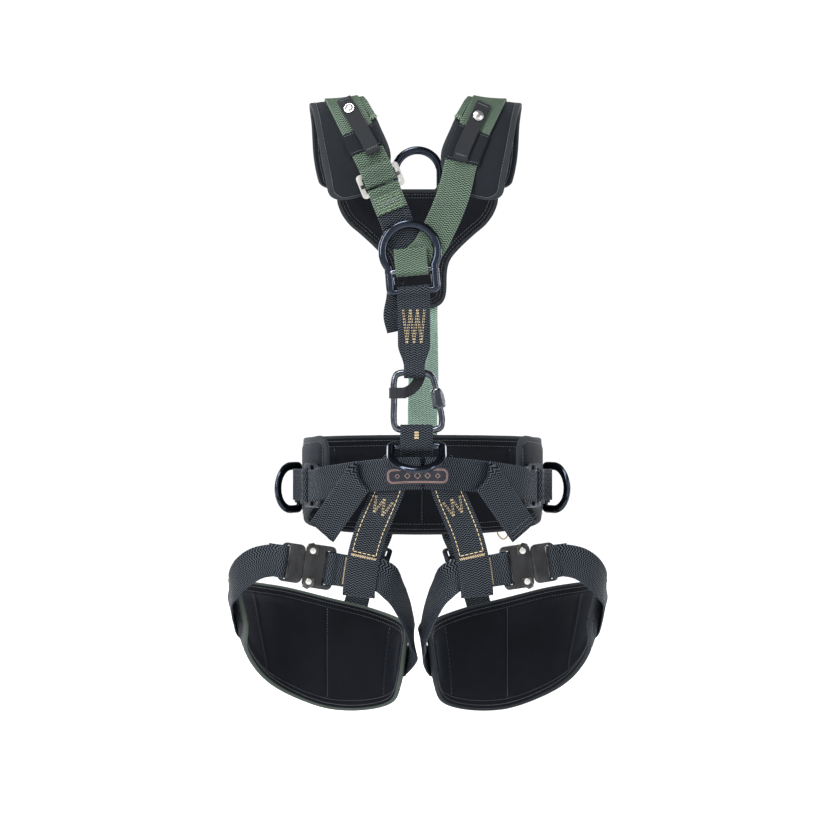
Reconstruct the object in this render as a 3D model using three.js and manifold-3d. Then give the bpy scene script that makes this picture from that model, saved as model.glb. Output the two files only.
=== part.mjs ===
// A full-body tree climbing harness: padded shoulder yoke, waist belt and leg loops joined by 45 mm webbing.
// Millimetres. +Z up, -Y is the wearer's front, +X is to the right as seen from the front.
// The origin is the centre of the dorsal ring's bar, between the shoulder blades, which the harness hangs from.
import * as THREE from "three";
import { mergeVertices } from "three/addons/utils/BufferGeometryUtils.js";
import Module from "manifold-3d";

const wasm = await Module();
wasm.setup();

// ---------- driving dimensions ----------
const WEB = 45; // width of the load webbing
const WEB_T = 2.2; // thickness of the load webbing
const GAP = 0.5; // air between pieces that touch
const PAD_T = 10; // foam pads
const BINDING_T = 4.5; // pads where their edge binding is sewn
const RING_W = 12; // ring stock, across its plane
const RING_T = 8.4; // ring stock, through its plane
const BAR_R = 4.2; // ring bars inside the webbing
const LINK_R = 4.5; // screw link stock
const LAYER = WEB_T + GAP; // one layer of webbing and the air beside it
const RING_LOOP_R = BAR_R / Math.cos(Math.PI / 8) + GAP + WEB_T / 2; // middle of webbing round a ring bar
const LINK_LOOP_R = LINK_R / Math.cos(Math.PI / 8) + GAP + WEB_T / 2; // the same round the screw link
const YOKE_FRONT = -21;
const YOKE_BACK = -12;
const FRONT_Y = -172; // plane of the sternal ring, the screw link and the ventral ring's bar

const v3 = (x, y, z) => new THREE.Vector3(x, y, z);
const root = new THREE.Group();

const LOOKS = {
  black_web: { color: 0x1b2129, roughness: 0.8, metalness: 0 },
  green_web: { color: 0x5f7f5c, roughness: 0.75, metalness: 0 },
  mint_web: { color: 0x9fbfb0, roughness: 0.75, metalness: 0 },
  pad: { color: 0x10131a, roughness: 0.9, metalness: 0 },
  pad_cover: { color: 0x171b24, roughness: 0.85, metalness: 0 },
  ring: { color: 0x20242c, roughness: 0.35, metalness: 0.8 },
  steel: { color: 0x8a8f98, roughness: 0.25, metalness: 1 },
  bright_steel: { color: 0xd8d4cc, roughness: 0.3, metalness: 1 },
  buckle: { color: 0x121316, roughness: 0.35, metalness: 0.7 },
  latch: { color: 0xc9962f, roughness: 0.4, metalness: 0.8 },
  label: { color: 0x1d2430, roughness: 0.8, metalness: 0 },
  cord: { color: 0x7a6a3a, roughness: 0.7, metalness: 0 },
};
const materials = Object.fromEntries(
  Object.entries(LOOKS).map(([name, look]) => [name, new THREE.MeshStandardMaterial(look)]),
);

function add(name, geometry, look, parent = root) {
  const mesh = new THREE.Mesh(geometry, materials[look]);
  mesh.name = name;
  parent.add(mesh);
  return mesh;
}

// ---------- soft goods ----------

// Smooth curve through points given as [x, y, z].
function smooth(points) {
  return new THREE.CatmullRomCurve3(points.map((p) => v3(p[0], p[1], p[2])), false, "centripetal");
}

// A route is a list of [x, y, z, ux, uy, uz]: where a strap's middle runs, and which way its width points.
function strapFrame(route) {
  const centre = smooth(route);
  const across = new THREE.CatmullRomCurve3(route.map((p) => v3(p[3], p[4], p[5])), false, "catmullrom", 0.5);
  return (t) => {
    const at = centre.getPoint(t);
    const before = centre.getPoint(Math.max(0, t - 1e-3));
    const along = centre.getPoint(Math.min(1, t + 1e-3)).sub(before).normalize();
    const wide = across.getPoint(t);
    const side = wide.addScaledVector(along, -wide.dot(along)).normalize();
    const out = along.clone().cross(side).normalize();
    return { at, side, out };
  };
}

// A strap is a box bent along its route. Its width may be a function of the place on the route.
function strap(route, { width = WEB, thickness = WEB_T, density = 3 } = {}) {
  const geometry = new THREE.BoxGeometry(1, 1, 1, 1, 1, density * (route.length - 1));
  const frame = strapFrame(route);
  const position = geometry.getAttribute("position");
  for (let i = 0; i < position.count; i++) {
    const { at, side, out } = frame(position.getZ(i) + 0.5);
    const wide = typeof width === "function" ? width(at) : width;
    at.addScaledVector(side, position.getX(i) * wide).addScaledVector(out, position.getY(i) * thickness);
    position.setXYZ(i, at.x, at.y, at.z);
  }
  return geometry;
}

// Rows of a strap that turns back round a bar. `away` points from the strap to the bar, and `out` from the
// arriving layer to the returning one. `main` and `rest` say how far along `out` the two layers lie.
function loopRows({
  centre, radius, out, away, bar, main = -radius, rest = main + LAYER + 0.3, tail = 20, turn = 0.55,
}) {
  const row = (n, s) => {
    const p = centre.clone().addScaledVector(out, n).addScaledVector(away, s);
    return [p.x, p.y, p.z, bar.x, bar.y, bar.z];
  };
  const reach = (drop) => radius * Math.sin(turn) + (drop * Math.cos(turn)) / Math.sin(turn);
  const early = main > -radius + 0.1 ? turn : 0;
  const late = rest < radius - 0.1 ? turn : 0;
  const rows = [];
  if (early) {
    const start = reach(main + radius * Math.cos(turn));
    const bend = row((main - radius * Math.cos(turn)) / 2, -(start + radius * Math.sin(turn)) / 2);
    rows.push(row(main, -start), bend);
  } else {
    rows.push(row(-radius, -radius));
  }
  for (let i = 0; i <= 6; i++) {
    const angle = -early + ((Math.PI + early + late) * i) / 6;
    rows.push(row(-radius * Math.cos(angle), radius * Math.sin(angle)));
  }
  if (late) {
    const back = reach(radius * Math.cos(turn) - rest);
    rows.push(row((rest + radius * Math.cos(turn)) / 2, -(back + radius * Math.sin(turn)) / 2));
    rows.push(row(rest, -back), row(rest, -back - tail));
  } else {
    rows.push(row(radius, -radius), row(radius, -radius - tail));
  }
  return rows;
}

// A sewn sling round two parallel bars. Its layers are stitched together between them.
function sling(top, topRadius, topBar, bottom, bottomRadius, bottomBar, front) {
  const down = bottom.clone().sub(top).normalize();
  const up = down.clone().negate();
  const pinch = LAYER / 2;
  const upper = loopRows({
    centre: top, radius: topRadius, out: front, away: up, bar: topBar, main: -pinch, rest: pinch, tail: 6,
  });
  const lower = loopRows({
    centre: bottom, radius: bottomRadius, out: front.clone().negate(), away: down, bar: bottomBar,
    main: -pinch, rest: pinch, tail: 6,
  });
  return [...upper.slice(0, -1), ...lower];
}

// A pad is lofted between two rails. It is full in the middle and thin at its bound edges.
function padSurface(first, second) {
  const a = smooth(first);
  const b = smooth(second);
  const point = (s, t) => a.getPoint(t).lerp(b.getPoint(t), s);
  return (s, t) => {
    const at = point(s, t);
    const side = b.getPoint(t).sub(a.getPoint(t)).normalize();
    const along = point(s, Math.min(1, t + 1e-3)).sub(point(s, Math.max(0, t - 1e-3))).normalize();
    return { at, side, out: along.cross(side).normalize() };
  };
}

function padThickness(s, t, full) {
  const rise = (x) => Math.min(1, Math.max(0, x)) ** 0.5;
  const across = rise(Math.min(s, 1 - s) / 0.16);
  const along = rise(Math.min(t, 1 - t) / 0.05);
  return BINDING_T + (full - BINDING_T) * Math.min(across, along);
}

function pad(surface, { thickness = PAD_T, steps = 30, rows = 6 } = {}) {
  const geometry = new THREE.BoxGeometry(1, 1, 1, rows, 1, steps);
  const position = geometry.getAttribute("position");
  for (let i = 0; i < position.count; i++) {
    const s = position.getX(i) + 0.5;
    const t = position.getZ(i) + 0.5;
    const { at, out } = surface(s, t);
    at.addScaledVector(out, position.getY(i) * padThickness(s, t, thickness));
    position.setXYZ(i, at.x, at.y, at.z);
  }
  return geometry;
}

// Rails of a pad whose route rows are [x, y, z, ux, uy, uz, width].
function rails(rows) {
  const rail = (end) => rows.map(([x, y, z, ux, uy, uz, w]) => {
    const reach = (end * w) / 2 / Math.hypot(ux, uy, uz);
    return [x + ux * reach, y + uy * reach, z + uz * reach];
  });
  return padSurface(rail(-1), rail(1));
}

// A row of a strap that lies on a pad, a stated distance off its middle surface.
// The strap's width points across the pad, or along it when the strap itself runs across.
function onPad(surface, s, t, distance, sign, crossing = false) {
  const { at, side, out } = surface(s, t);
  at.addScaledVector(out, distance);
  const wide = (crossing ? out.cross(side) : side).multiplyScalar(sign);
  return [...at.toArray(), ...wide.toArray()];
}

// ---------- metal ----------

// A closed bar bent to a flat outline: a torus whose turns follow the outline. The section is an octagon.
function bentRing(outline, { across = RING_W, through = RING_T, steps = 36 } = {}) {
  const points = outline.getSpacedPoints(steps).slice(0, steps);
  const geometry = new THREE.TorusGeometry(1, 0.3, 8, steps);
  const position = geometry.getAttribute("position");
  const uv = geometry.getAttribute("uv");
  const grow = 1 / Math.cos(Math.PI / 8);
  for (let i = 0; i < position.count; i++) {
    const k = Math.round(uv.getX(i) * steps) % steps;
    const turn = 2 * Math.PI * uv.getY(i) + Math.PI / 8;
    const before = points[(k + steps - 1) % steps];
    const after = points[(k + 1) % steps];
    const along = after.clone().sub(before).normalize();
    const off = (Math.cos(turn) * across * grow) / 2;
    const lift = (Math.sin(turn) * through * grow) / 2;
    position.setXYZ(i, points[k].x + along.y * off, points[k].y - along.x * off, lift);
  }
  // The bar side, along X through the origin, is slimmer than the rest so that webbing can turn on it.
  const corner = Math.max(...points.map((p) => Math.abs(p.x))) - 0.5 * across;
  for (let i = 0; i < position.count; i++) {
    if (Math.abs(position.getY(i)) < across && Math.abs(position.getX(i)) < corner) {
      position.setY(i, (position.getY(i) * BAR_R * 2) / across);
    }
  }
  return geometry;
}

// Straight round bar along X.
function rod(length, radius, sides = 10) {
  return new THREE.CylinderGeometry(radius, radius, length, sides).rotateZ(Math.PI / 2);
}

function solid(geometry) {
  const plain = geometry.clone();
  plain.deleteAttribute("normal");
  plain.deleteAttribute("uv");
  const merged = mergeVertices(plain, 1e-4);
  return new wasm.Manifold(
    new wasm.Mesh({
      numProp: 3,
      vertProperties: merged.getAttribute("position").array,
      triVerts: new Uint32Array(merged.getIndex().array),
    }),
  );
}

function geometryOf(manifold) {
  const mesh = manifold.getMesh();
  return new THREE.BufferGeometry()
    .setAttribute("position", new THREE.BufferAttribute(mesh.vertProperties, 3))
    .setIndex(new THREE.BufferAttribute(mesh.triVerts, 1));
}

const join = (...parts) => geometryOf(parts.map(solid).reduce((a, b) => a.add(b)));
const cut = (body, ...tools) => geometryOf(tools.map(solid).reduce((a, b) => a.subtract(b), solid(body)));
const box = (x, y, z, cx = 0, cy = 0, cz = 0) => new THREE.BoxGeometry(x, y, z).translate(cx, cy, cz);

function roundedRect(w, h, r) {
  const shape = new THREE.Shape();
  shape.moveTo(-w / 2 + r, -h / 2);
  shape.absarc(w / 2 - r, -h / 2 + r, r, -Math.PI / 2, 0);
  shape.absarc(w / 2 - r, h / 2 - r, r, 0, Math.PI / 2);
  shape.absarc(-w / 2 + r, h / 2 - r, r, Math.PI / 2, Math.PI);
  shape.absarc(-w / 2 + r, -h / 2 + r, r, Math.PI, 1.5 * Math.PI);
  return shape;
}

// Plate of a given outline, centred on z = 0 of its own frame.
function plate(shape, thickness, curveSegments = 4) {
  const geometry = new THREE.ExtrudeGeometry(shape, { depth: thickness, bevelEnabled: false, curveSegments });
  return geometry.translate(0, 0, -thickness / 2);
}

// Group whose own X, Y and Z axes are the given directions, at a given place.
function station(at, x, y) {
  const group = new THREE.Group();
  const z = x.clone().cross(y).normalize();
  const matrix = new THREE.Matrix4().makeBasis(x.clone().normalize(), z.clone().cross(x).normalize(), z);
  group.quaternion.setFromRotationMatrix(matrix);
  group.position.copy(at);
  root.add(group);
  return group;
}

const X = v3(1, 0, 0);
const Y = v3(0, 1, 0);
const Z = v3(0, 0, 1);
const FRONT = v3(0, -1, 0);
const DOWN = v3(0, 0, -1);

// Outline of a D ring, bar along its own X through the origin, bow towards +Y.
function dOutline(width, height) {
  const r = (width - RING_W) / 2;
  const corner = 5;
  const path = new THREE.Path();
  path.moveTo(-r + corner, 0);
  path.lineTo(r - corner, 0);
  path.absarc(r - corner, corner, corner, -Math.PI / 2, 0);
  path.lineTo(r, height - RING_W / 2 - r);
  path.absarc(0, height - RING_W / 2 - r, r, 0, Math.PI);
  path.lineTo(-r, corner);
  path.absarc(-r + corner, corner, corner, Math.PI, 1.5 * Math.PI);
  return path;
}

// ---------- shoulder yoke ----------

// Right half of the back pad's outline, as [x, z].
const YOKE_OUTLINE = [
  [0, 5.5], [44, 5.5], [58, 20], [78, 60], [106, 62], [115, 12], [117, -10], [110, -29], [98, -45],
  [84, -56], [62, -76], [46, -94], [41, -112], [41, -143], [37, -157], [26, -165], [0, -167],
];

function yokePad() {
  const half = YOKE_OUTLINE.map(([x, z]) => new THREE.Vector2(x, z));
  const other = half.slice(1, -1).reverse().map((p) => new THREE.Vector2(-p.x, p.y));
  const shape = new THREE.Shape([...half, ...other]);
  const middle = (YOKE_BACK + YOKE_FRONT) / 2;
  return plate(shape, YOKE_BACK - YOKE_FRONT).rotateX(Math.PI / 2).translate(0, middle, 0);
}
add("yoke_pad", yokePad(), "pad_cover");

const SHOULDER_SHIFT = -3; // the pair sits a little to the wearer's right
const SHOULDER_T = PAD_T - 2;
const SHOULDER_MID = YOKE_FRONT - GAP - SHOULDER_T / 2;
// Middle of a shoulder pad from its back end over the top to its front end: x, y, z, ux, uy, uz, width.
const SHOULDER = [
  [104, SHOULDER_MID, 8, 1, 0, 0, 66],
  [105, SHOULDER_MID, 30, 1, 0, 0, 76],
  [107, SHOULDER_MID - 2, 55, 1, 0, 0, 80],
  [110, -42, 97, 1, 0, 0, 78],
  [112, -88, 119, 1, 0.08, 0, 76],
  [105, -130, 106, 0.96, 0.12, -0.26, 76],
  [92, -149, 66, 0.95, 0, -0.3, 86],
  [80, -156, 22, 0.95, 0, -0.3, 92],
  [83, -157, -8, 0.97, 0, -0.25, 72],
  [86, -156, -20, 0.97, 0, -0.25, 34],
];

function shoulderSurface(side) {
  return rails(SHOULDER.map(([x, y, z, ux, uy, uz, w]) => (
    [side * x + SHOULDER_SHIFT, y, z, ux, side * uy, side * uz, w]
  )));
}

const shoulders = { left: shoulderSurface(-1), right: shoulderSurface(1) };
add("shoulder_pad_left", pad(shoulders.left, { thickness: SHOULDER_T, steps: 24, rows: 4 }), "pad");
add("shoulder_pad_right", pad(shoulders.right, { thickness: SHOULDER_T, steps: 24, rows: 4 }), "pad");

// A row on the outer face of a shoulder pad: k is the place along SHOULDER, inward moves it towards the neck.
const WEB_ON_SHOULDER = SHOULDER_T / 2 + GAP + WEB_T / 2;
function onShoulder(side, k, inward = 0, lift = 0) {
  const surface = side < 0 ? shoulders.left : shoulders.right;
  const share = 0.5 - (side * inward) / 80;
  const { at, side: wide, out } = surface(share, k / (SHOULDER.length - 1));
  at.addScaledVector(out, WEB_ON_SHOULDER + lift);
  return [at.x, at.y, at.z, wide.x, wide.y, wide.z];
}

const WEB_ON_YOKE = YOKE_BACK + GAP + WEB_T / 2;
function shoulderStart(side) {
  const slant = [0.72, 0, -0.69 * side];
  return [
    [side * 29, WEB_ON_YOKE, -24, ...slant],
    [side * 52, WEB_ON_YOKE, 6, ...slant],
    [side * 78, WEB_ON_YOKE, 44, 0.88, 0, -0.47 * side],
    [side * 95 + SHOULDER_SHIFT, WEB_ON_YOKE + 1.5, 74, 0.95, 0, -0.3 * side],
    ...[3, 3.5, 4, 4.5, 5, 5.5, 6].map((k) => onShoulder(side, k, 3 + (k - 3) ** 1.4 * 2, 1.5)),
  ];
}

// ---------- dorsal ring ----------

add("dorsal_d_ring", bentRing(dOutline(79, 72)), "ring", station(v3(0, 0, 0), X, Z));

function dorsalTab() {
  const rows = loopRows({ centre: v3(0, 0, 0), radius: RING_LOOP_R, out: Y, away: Z, bar: X, tail: 24 });
  const low = [0, -RING_LOOP_R, -46, 1, 0, 0];
  return strap([low, [0, -RING_LOOP_R, -26, 1, 0, 0], ...rows], { density: 2 });
}
add("dorsal_ring_tab", dorsalTab(), "black_web");

// ---------- strap adjusters: a frame with a floating bar ----------

const FRAME = { long: 34, wide: 62, rail: 6, thick: 4, bar: 3 };
const BAR_LOOP_R = FRAME.bar + GAP + WEB_T / 2;
const RAIL_LOOP_R = Math.hypot(FRAME.rail, FRAME.thick) / 2 + GAP + WEB_T / 2;
const RAIL_AT = (FRAME.long - FRAME.rail) / 2;

// Local X runs with the load from the strap's loose side to its sewn side, Y is across, Z is outward.
function adjusterFrame() {
  const outline = roundedRect(FRAME.long, FRAME.wide, 5);
  const opening = roundedRect(FRAME.long - 2 * FRAME.rail, WEB + 3, 2);
  outline.holes.push(opening);
  return plate(outline, FRAME.thick, 3);
}

function adjusterBar() {
  const reach = (WEB + 1) / 2;
  const parts = [new THREE.CylinderGeometry(FRAME.bar, FRAME.bar, 2 * reach, 10)];
  for (const side of [-1, 1]) {
    parts.push(box(5, 0.8, 6.8, 0, side * (reach + 0.2), 1.4));
    parts.push(box(5, 6, 2.2, 0, side * (reach + 2.8), 3.7));
  }
  return join(...parts);
}

// Loose side of the webbing: under the frame, round the floating bar and back over the frame.
function throughAdjuster(at, load, out, across) {
  return loopRows({ centre: at, radius: BAR_LOOP_R, out, away: load, bar: across, rest: BAR_LOOP_R, tail: 6 });
}

// ---------- left shoulder adjuster and chest webbing ----------

const chestLoad = v3(0.37, 0.05, -0.93).normalize();
const chestAcross = v3(0.93, 0, 0.37).normalize();
const chestOut = chestLoad.clone().cross(chestAcross).normalize();
const chestAt = v3(-52, -168, 2);
const chestStation = station(chestAt, chestLoad, chestAcross);
add("shoulder_adjuster_frame", adjusterFrame(), "bright_steel", chestStation);
add("shoulder_adjuster_bar", adjusterBar(), "ring", chestStation);

function shoulderWebLeft() {
  const turn = throughAdjuster(chestAt, chestLoad, chestOut, chestAcross).slice(0, -1);
  const on = (along, height) => {
    const p = chestAt.clone().addScaledVector(chestLoad, along).addScaledVector(chestOut, height);
    return [p.x, p.y, p.z, chestAcross.x, chestAcross.y, chestAcross.z];
  };
  return strap([
    ...shoulderStart(-1),
    onShoulder(-1, 6.5, 14, 1),
    on(-24, -BAR_LOOP_R),
    ...turn,
    on(-9, 6.4),
    on(-15, 8.2),
    on(-21, 6.6),
    on(-23.5, 3),
  ], { density: 2 });
}
add("shoulder_web_left", shoulderWebLeft(), "green_web");

const railAt = chestAt.clone().addScaledVector(chestLoad, RAIL_AT);
add(
  "chest_tab",
  strap([
    ...loopRows({
      centre: railAt, radius: RAIL_LOOP_R, out: chestOut, away: chestLoad.clone().negate(), bar: chestAcross,
      main: -LAYER, rest: LAYER, tail: 26,
    }).flatMap((row, i) => (i === 0 ? [extend(row, chestLoad, 26), row] : [row])),
  ], { density: 3 }),
  "green_web",
);

function extend(row, direction, distance) {
  const [x, y, z, ...across] = row;
  const p = v3(x, y, z).addScaledVector(direction, distance);
  return [p.x, p.y, p.z, ...across];
}

// ---------- sternal ring ----------

const STERNAL = { x: -6, bottom: -151, circle: 55, radius: 37.9, half: 31.5, midBar: 28 };
const sternalUp = v3(-0.09, 0, 1).normalize();
const sternalAcross = v3(1, 0, 0.09).normalize();
const sternalAt = v3(STERNAL.x, FRONT_Y, STERNAL.bottom);

function sternalRing() {
  const { circle, radius, half, midBar } = STERNAL;
  const start = -Math.acos(half / radius);
  const path = new THREE.Path();
  path.moveTo(-half + 5, 0);
  path.lineTo(half - 5, 0);
  path.absarc(half - 5, 5, 5, -Math.PI / 2, 0);
  path.absarc(0, circle, radius, start, Math.PI - start);
  path.absarc(-half + 5, 5, 5, Math.PI, 1.5 * Math.PI);
  const bar = rod(2 * half, BAR_R, 8).rotateX(Math.PI / 8).translate(0, midBar, 0);
  return join(bentRing(path, { steps: 44 }), bar);
}
add("sternal_d_ring", sternalRing(), "ring", station(sternalAt, sternalAcross, sternalUp));
const sternalMid = sternalAt.clone().addScaledVector(sternalUp, STERNAL.midBar);
const BEHIND_RING = FRONT_Y + RING_LOOP_R;

function shoulderWebRight() {
  const slant = (k) => [1 - 0.07 * k, 0, -0.37 * k + 0.09 * (1 - k)];
  return strap([
    ...shoulderStart(1),
    onShoulder(1, 6.9, 15, 0),
    [50, -168, -14, ...slant(1)],
    [34, BEHIND_RING - 1, -55, ...slant(1)],
    [12, BEHIND_RING, -95, ...slant(0.7)],
    ...loopRows({
      centre: sternalMid, radius: RING_LOOP_R, out: FRONT, away: sternalUp.clone().negate(), bar: sternalAcross,
      rest: 0.5, tail: 20,
    }),
  ], { density: 2 });
}
add("shoulder_web_right", shoulderWebRight(), "green_web");

function chestWebLeft() {
  const across = chestAcross.toArray();
  const between = (s) => [...chestAt.clone().addScaledVector(chestLoad, RAIL_AT + s).toArray(), ...across];
  return strap([
    between(RAIL_LOOP_R + 6),
    between(RAIL_LOOP_R + 20),
    between(RAIL_LOOP_R + 34),
    [-23, BEHIND_RING + LAYER, -72, ...across],
    [-13, BEHIND_RING + LAYER + 0.5, -94, ...across],
    [-5, BEHIND_RING + LAYER + 0.5, -112, ...across],
  ]);
}
add("chest_web_left", chestWebLeft(), "black_web");

// ---------- screw link and chest sling ----------

const LINK = { left: -33, top: -264, bottom: -343, middle: -5 };
const linkTop = v3(LINK.middle, FRONT_Y, LINK.top);
const LINK_GAP = [[26.3, -293], [29, -306]]; // the two ends of the stock, as [x, z]

// The stock is bent from the gap's upper end over the top, down the spine and back up to the gap's lower end.
function quickLink() {
  const { left, top, bottom } = LINK;
  const points = [
    LINK_GAP[0], [24, -282], [19, -269],
    [9, top], [-10, top], [left + 11, top], [left + 3, top - 3], [left, top - 11],
    [left, -303],
    [left, bottom + 11], [left + 3, bottom + 3], [left + 11, bottom], [0, bottom], [22, bottom],
    [31, bottom + 4], [33, bottom + 14], [31.5, -316], LINK_GAP[1],
  ];
  const path = smooth(points.map(([x, z]) => [x, FRONT_Y, z]));
  const section = new THREE.Shape();
  section.absarc(0, 0, LINK_R, 0, 2 * Math.PI);
  const sweep = { steps: 44, extrudePath: path, curveSegments: 4, bevelEnabled: false };
  return new THREE.ExtrudeGeometry(section, sweep);
}
add("quick_link", quickLink(), "steel");

function linkSleeve() {
  const hexagon = new THREE.Shape();
  for (let i = 0; i < 6; i++) {
    const angle = (Math.PI * (2 * i + 1)) / 6;
    hexagon[i ? "lineTo" : "moveTo"](9 * Math.cos(angle), 9 * Math.sin(angle));
  }
  hexagon.closePath();
  const bore = new THREE.Path();
  bore.absarc(0, 0, LINK_R + 1.3, 0, 2 * Math.PI);
  hexagon.holes.push(bore);
  return plate(hexagon, 27, 8).rotateY(Math.PI / 2);
}
const [gapTop, gapBottom] = LINK_GAP.map(([x, z]) => v3(x, FRONT_Y, z));
const sleeveAxis = gapTop.clone().sub(gapBottom).normalize();
const sleeveAt = gapTop.clone().lerp(gapBottom, 0.5);
add("quick_link_sleeve", linkSleeve(), "steel", station(sleeveAt, sleeveAxis, Y));

const chestSling = sling(sternalAt, RING_LOOP_R, sternalAcross, linkTop, LINK_LOOP_R, X, FRONT);
const slingWidth = (at) => THREE.MathUtils.lerp(29, WEB, THREE.MathUtils.smoothstep(at.z, -256, -225));
add("chest_link_strap", strap(chestSling, { width: slingWidth, density: 2 }), "black_web");

// Loose tail of the chest webbing, left of the sling.
add(
  "chest_tail",
  strap([
    [-31, FRONT_Y + 15, -135, 1, 0, 0.1],
    [-33, FRONT_Y + 13, -160, 1, 0, 0.15],
    [-37, FRONT_Y + 12, -185, 1, 0.1, 0.2],
    [-32, FRONT_Y + 12, -207, 1, 0.2, 0],
  ], { width: 22 }),
  "black_web",
);

// Elastic band that keeps the link upright. It comes down from behind the sling and turns round the spine.
const BAND = { width: 15, thick: 1.2, z: -292, behind: 9 };
function linkBand() {
  const turn = loopRows({
    centre: v3(LINK.left, FRONT_Y, BAND.z), radius: LINK_LOOP_R, out: FRONT, away: X.clone().negate(), bar: Z,
    rest: LINK_LOOP_R, tail: 10,
  });
  return strap([
    [4, FRONT_Y + BAND.behind, -265, -0.95, 0, 0.3],
    [0, FRONT_Y + BAND.behind, -276, -0.88, 0, 0.47],
    [-7, FRONT_Y + BAND.behind - 0.5, -285, -0.65, 0, 0.76],
    [-17, FRONT_Y + BAND.behind - 1.5, BAND.z + 1, -0.3, 0, 0.95],
    ...turn,
  ], { width: BAND.width, thickness: BAND.thick });
}
add("quick_link_keeper", linkBand(), "black_web");

// ---------- ventral loop and ring ----------

const ventralAt = v3(-2, FRONT_Y, -364);
const VENTRAL_TILT = THREE.MathUtils.degToRad(55);
const ventralDown = v3(0, -Math.sin(VENTRAL_TILT), -Math.cos(VENTRAL_TILT));
const ventralStation = station(ventralAt, X.clone().negate(), ventralDown);
add("ventral_d_ring", bentRing(dOutline(83, 62)), "ring", ventralStation);

const LINK_BOTTOM = v3(-2, FRONT_Y, LINK.bottom);
const BEHIND_VENTRAL = FRONT_Y + 14.2;
function ventralLoop() {
  const over = loopRows({
    centre: LINK_BOTTOM, radius: LINK_LOOP_R, out: FRONT, away: Z, bar: X, rest: LINK_LOOP_R, tail: 1,
  });
  const under = loopRows({
    centre: ventralAt, radius: RING_LOOP_R, out: Y, away: DOWN, bar: X, rest: RING_LOOP_R, tail: 5,
  });
  return [
    [-2, BEHIND_VENTRAL, -424, 1, 0, 0],
    [-2, BEHIND_VENTRAL, -395, 1, 0, 0],
    [-2, BEHIND_VENTRAL, -366, 1, 0, 0],
    ...over.slice(1, -2),
    ...under.slice(1),
  ];
}
add("ventral_web_loop", strap(ventralLoop(), { density: 2 }), "black_web");

// ---------- waist belt ----------

const BELT = { x: 7, y: -38, a: 176, b: 130, z: -402.5, drop: 26 };
const rad = THREE.MathUtils.degToRad;

// A point of the belt line: angle 0 is the front, 90 the wearer's left, 180 the back.
function belt(angle, out = 0, up = 0) {
  const turn = rad(angle);
  const normal = v3(Math.sin(turn) / BELT.a, -Math.cos(turn) / BELT.b, 0).normalize();
  const drop = BELT.drop * (Math.abs(angle) < 90 ? Math.sin(turn) ** 2 : 1);
  const at = v3(BELT.x + BELT.a * Math.sin(turn), BELT.y - BELT.b * Math.cos(turn), BELT.z - drop + up);
  return { at: at.addScaledVector(normal, out), normal };
}
const beltAngle = (x) => THREE.MathUtils.radToDeg(Math.asin((x - BELT.x) / BELT.a));
const beltRow = (angle, out = 0, up = 0) => [...belt(angle, out, up).at.toArray(), 0, 0, 1];

const WAIST_MID = -(WEB_T / 2 + GAP + PAD_T / 2);
const WING = 128; // the pad reaches this far round from the back on each side
function waistPad() {
  const rows = [];
  for (let k = -8; k <= 8; k++) {
    const share = k / 8;
    const angle = 180 + WING * share;
    const { at } = belt(angle > 180 ? angle - 360 : angle, WAIST_MID, 26 * share * share);
    rows.push([at.x, at.y, at.z, 0, 0, 1, 148 - 64 * share * share]);
  }
  return pad(rails(rows), { steps: 32, rows: 4 });
}
add("waist_pad", waistPad(), "pad");

const ADJUSTER_ANGLE = 60;
const ADJUSTER_OUT = BAR_LOOP_R + 0.4;
function waistAdjuster(side) {
  const { at, normal } = belt(side * ADJUSTER_ANGLE, ADJUSTER_OUT);
  const load = v3(0, 0, side).cross(normal).normalize();
  return { at, load, normal, group: station(at, load, normal.clone().cross(load)) };
}
const waistSides = { left: waistAdjuster(-1), right: waistAdjuster(1) };

// The belt's loose tail runs forward over the belt, folds over a slanting line and hangs down and outward.
const TAIL = { angle: 30, out: 7.5, radius: 3.5, back: 0.6, drop: 0.8, lengths: [12, 50, 90] };
function beltTail(side) {
  const { at, normal } = belt(side * TAIL.angle, TAIL.out);
  const forward = normal.clone().cross(v3(0, 0, side));
  const inPlane = (f, z) => forward.clone().multiplyScalar(f).addScaledVector(Z, z).normalize();
  const fold = inPlane(1 - TAIL.back, -TAIL.drop);
  const beside = inPlane(TAIL.drop, 1 - TAIL.back);
  const creep = (forward.dot(fold) / forward.dot(beside)) * TAIL.radius;
  const rows = [0, 1, 2, 3, 4].map((i) => {
    const angle = (Math.PI * i) / 4;
    const swing = beside.clone().multiplyScalar(Math.cos(angle)).addScaledVector(normal, Math.sin(angle));
    const across = fold.clone().multiplyScalar(fold.z).addScaledVector(swing, beside.z);
    const p = at.clone().addScaledVector(fold, creep * angle);
    p.addScaledVector(beside, TAIL.radius * Math.sin(angle));
    p.addScaledVector(normal, TAIL.radius * (1 - Math.cos(angle)));
    return [...p.toArray(), ...across.toArray()];
  });
  const hanging = inPlane(-TAIL.back, -TAIL.drop);
  return [...rows, ...TAIL.lengths.map((length) => extend(rows[4], hanging, length))];
}

function waistWebFront(side, adjuster) {
  const { at, load, normal } = adjuster;
  return strap([
    beltRow(side * 0.8),
    beltRow(side * 12),
    beltRow(side * 24),
    beltRow(side * 36),
    beltRow(side * 46),
    ...throughAdjuster(at, load, normal, Z),
    beltRow(side * 49, 11),
    beltRow(side * 40, 8.5),
    ...beltTail(side),
  ], { density: 2 });
}

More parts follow.
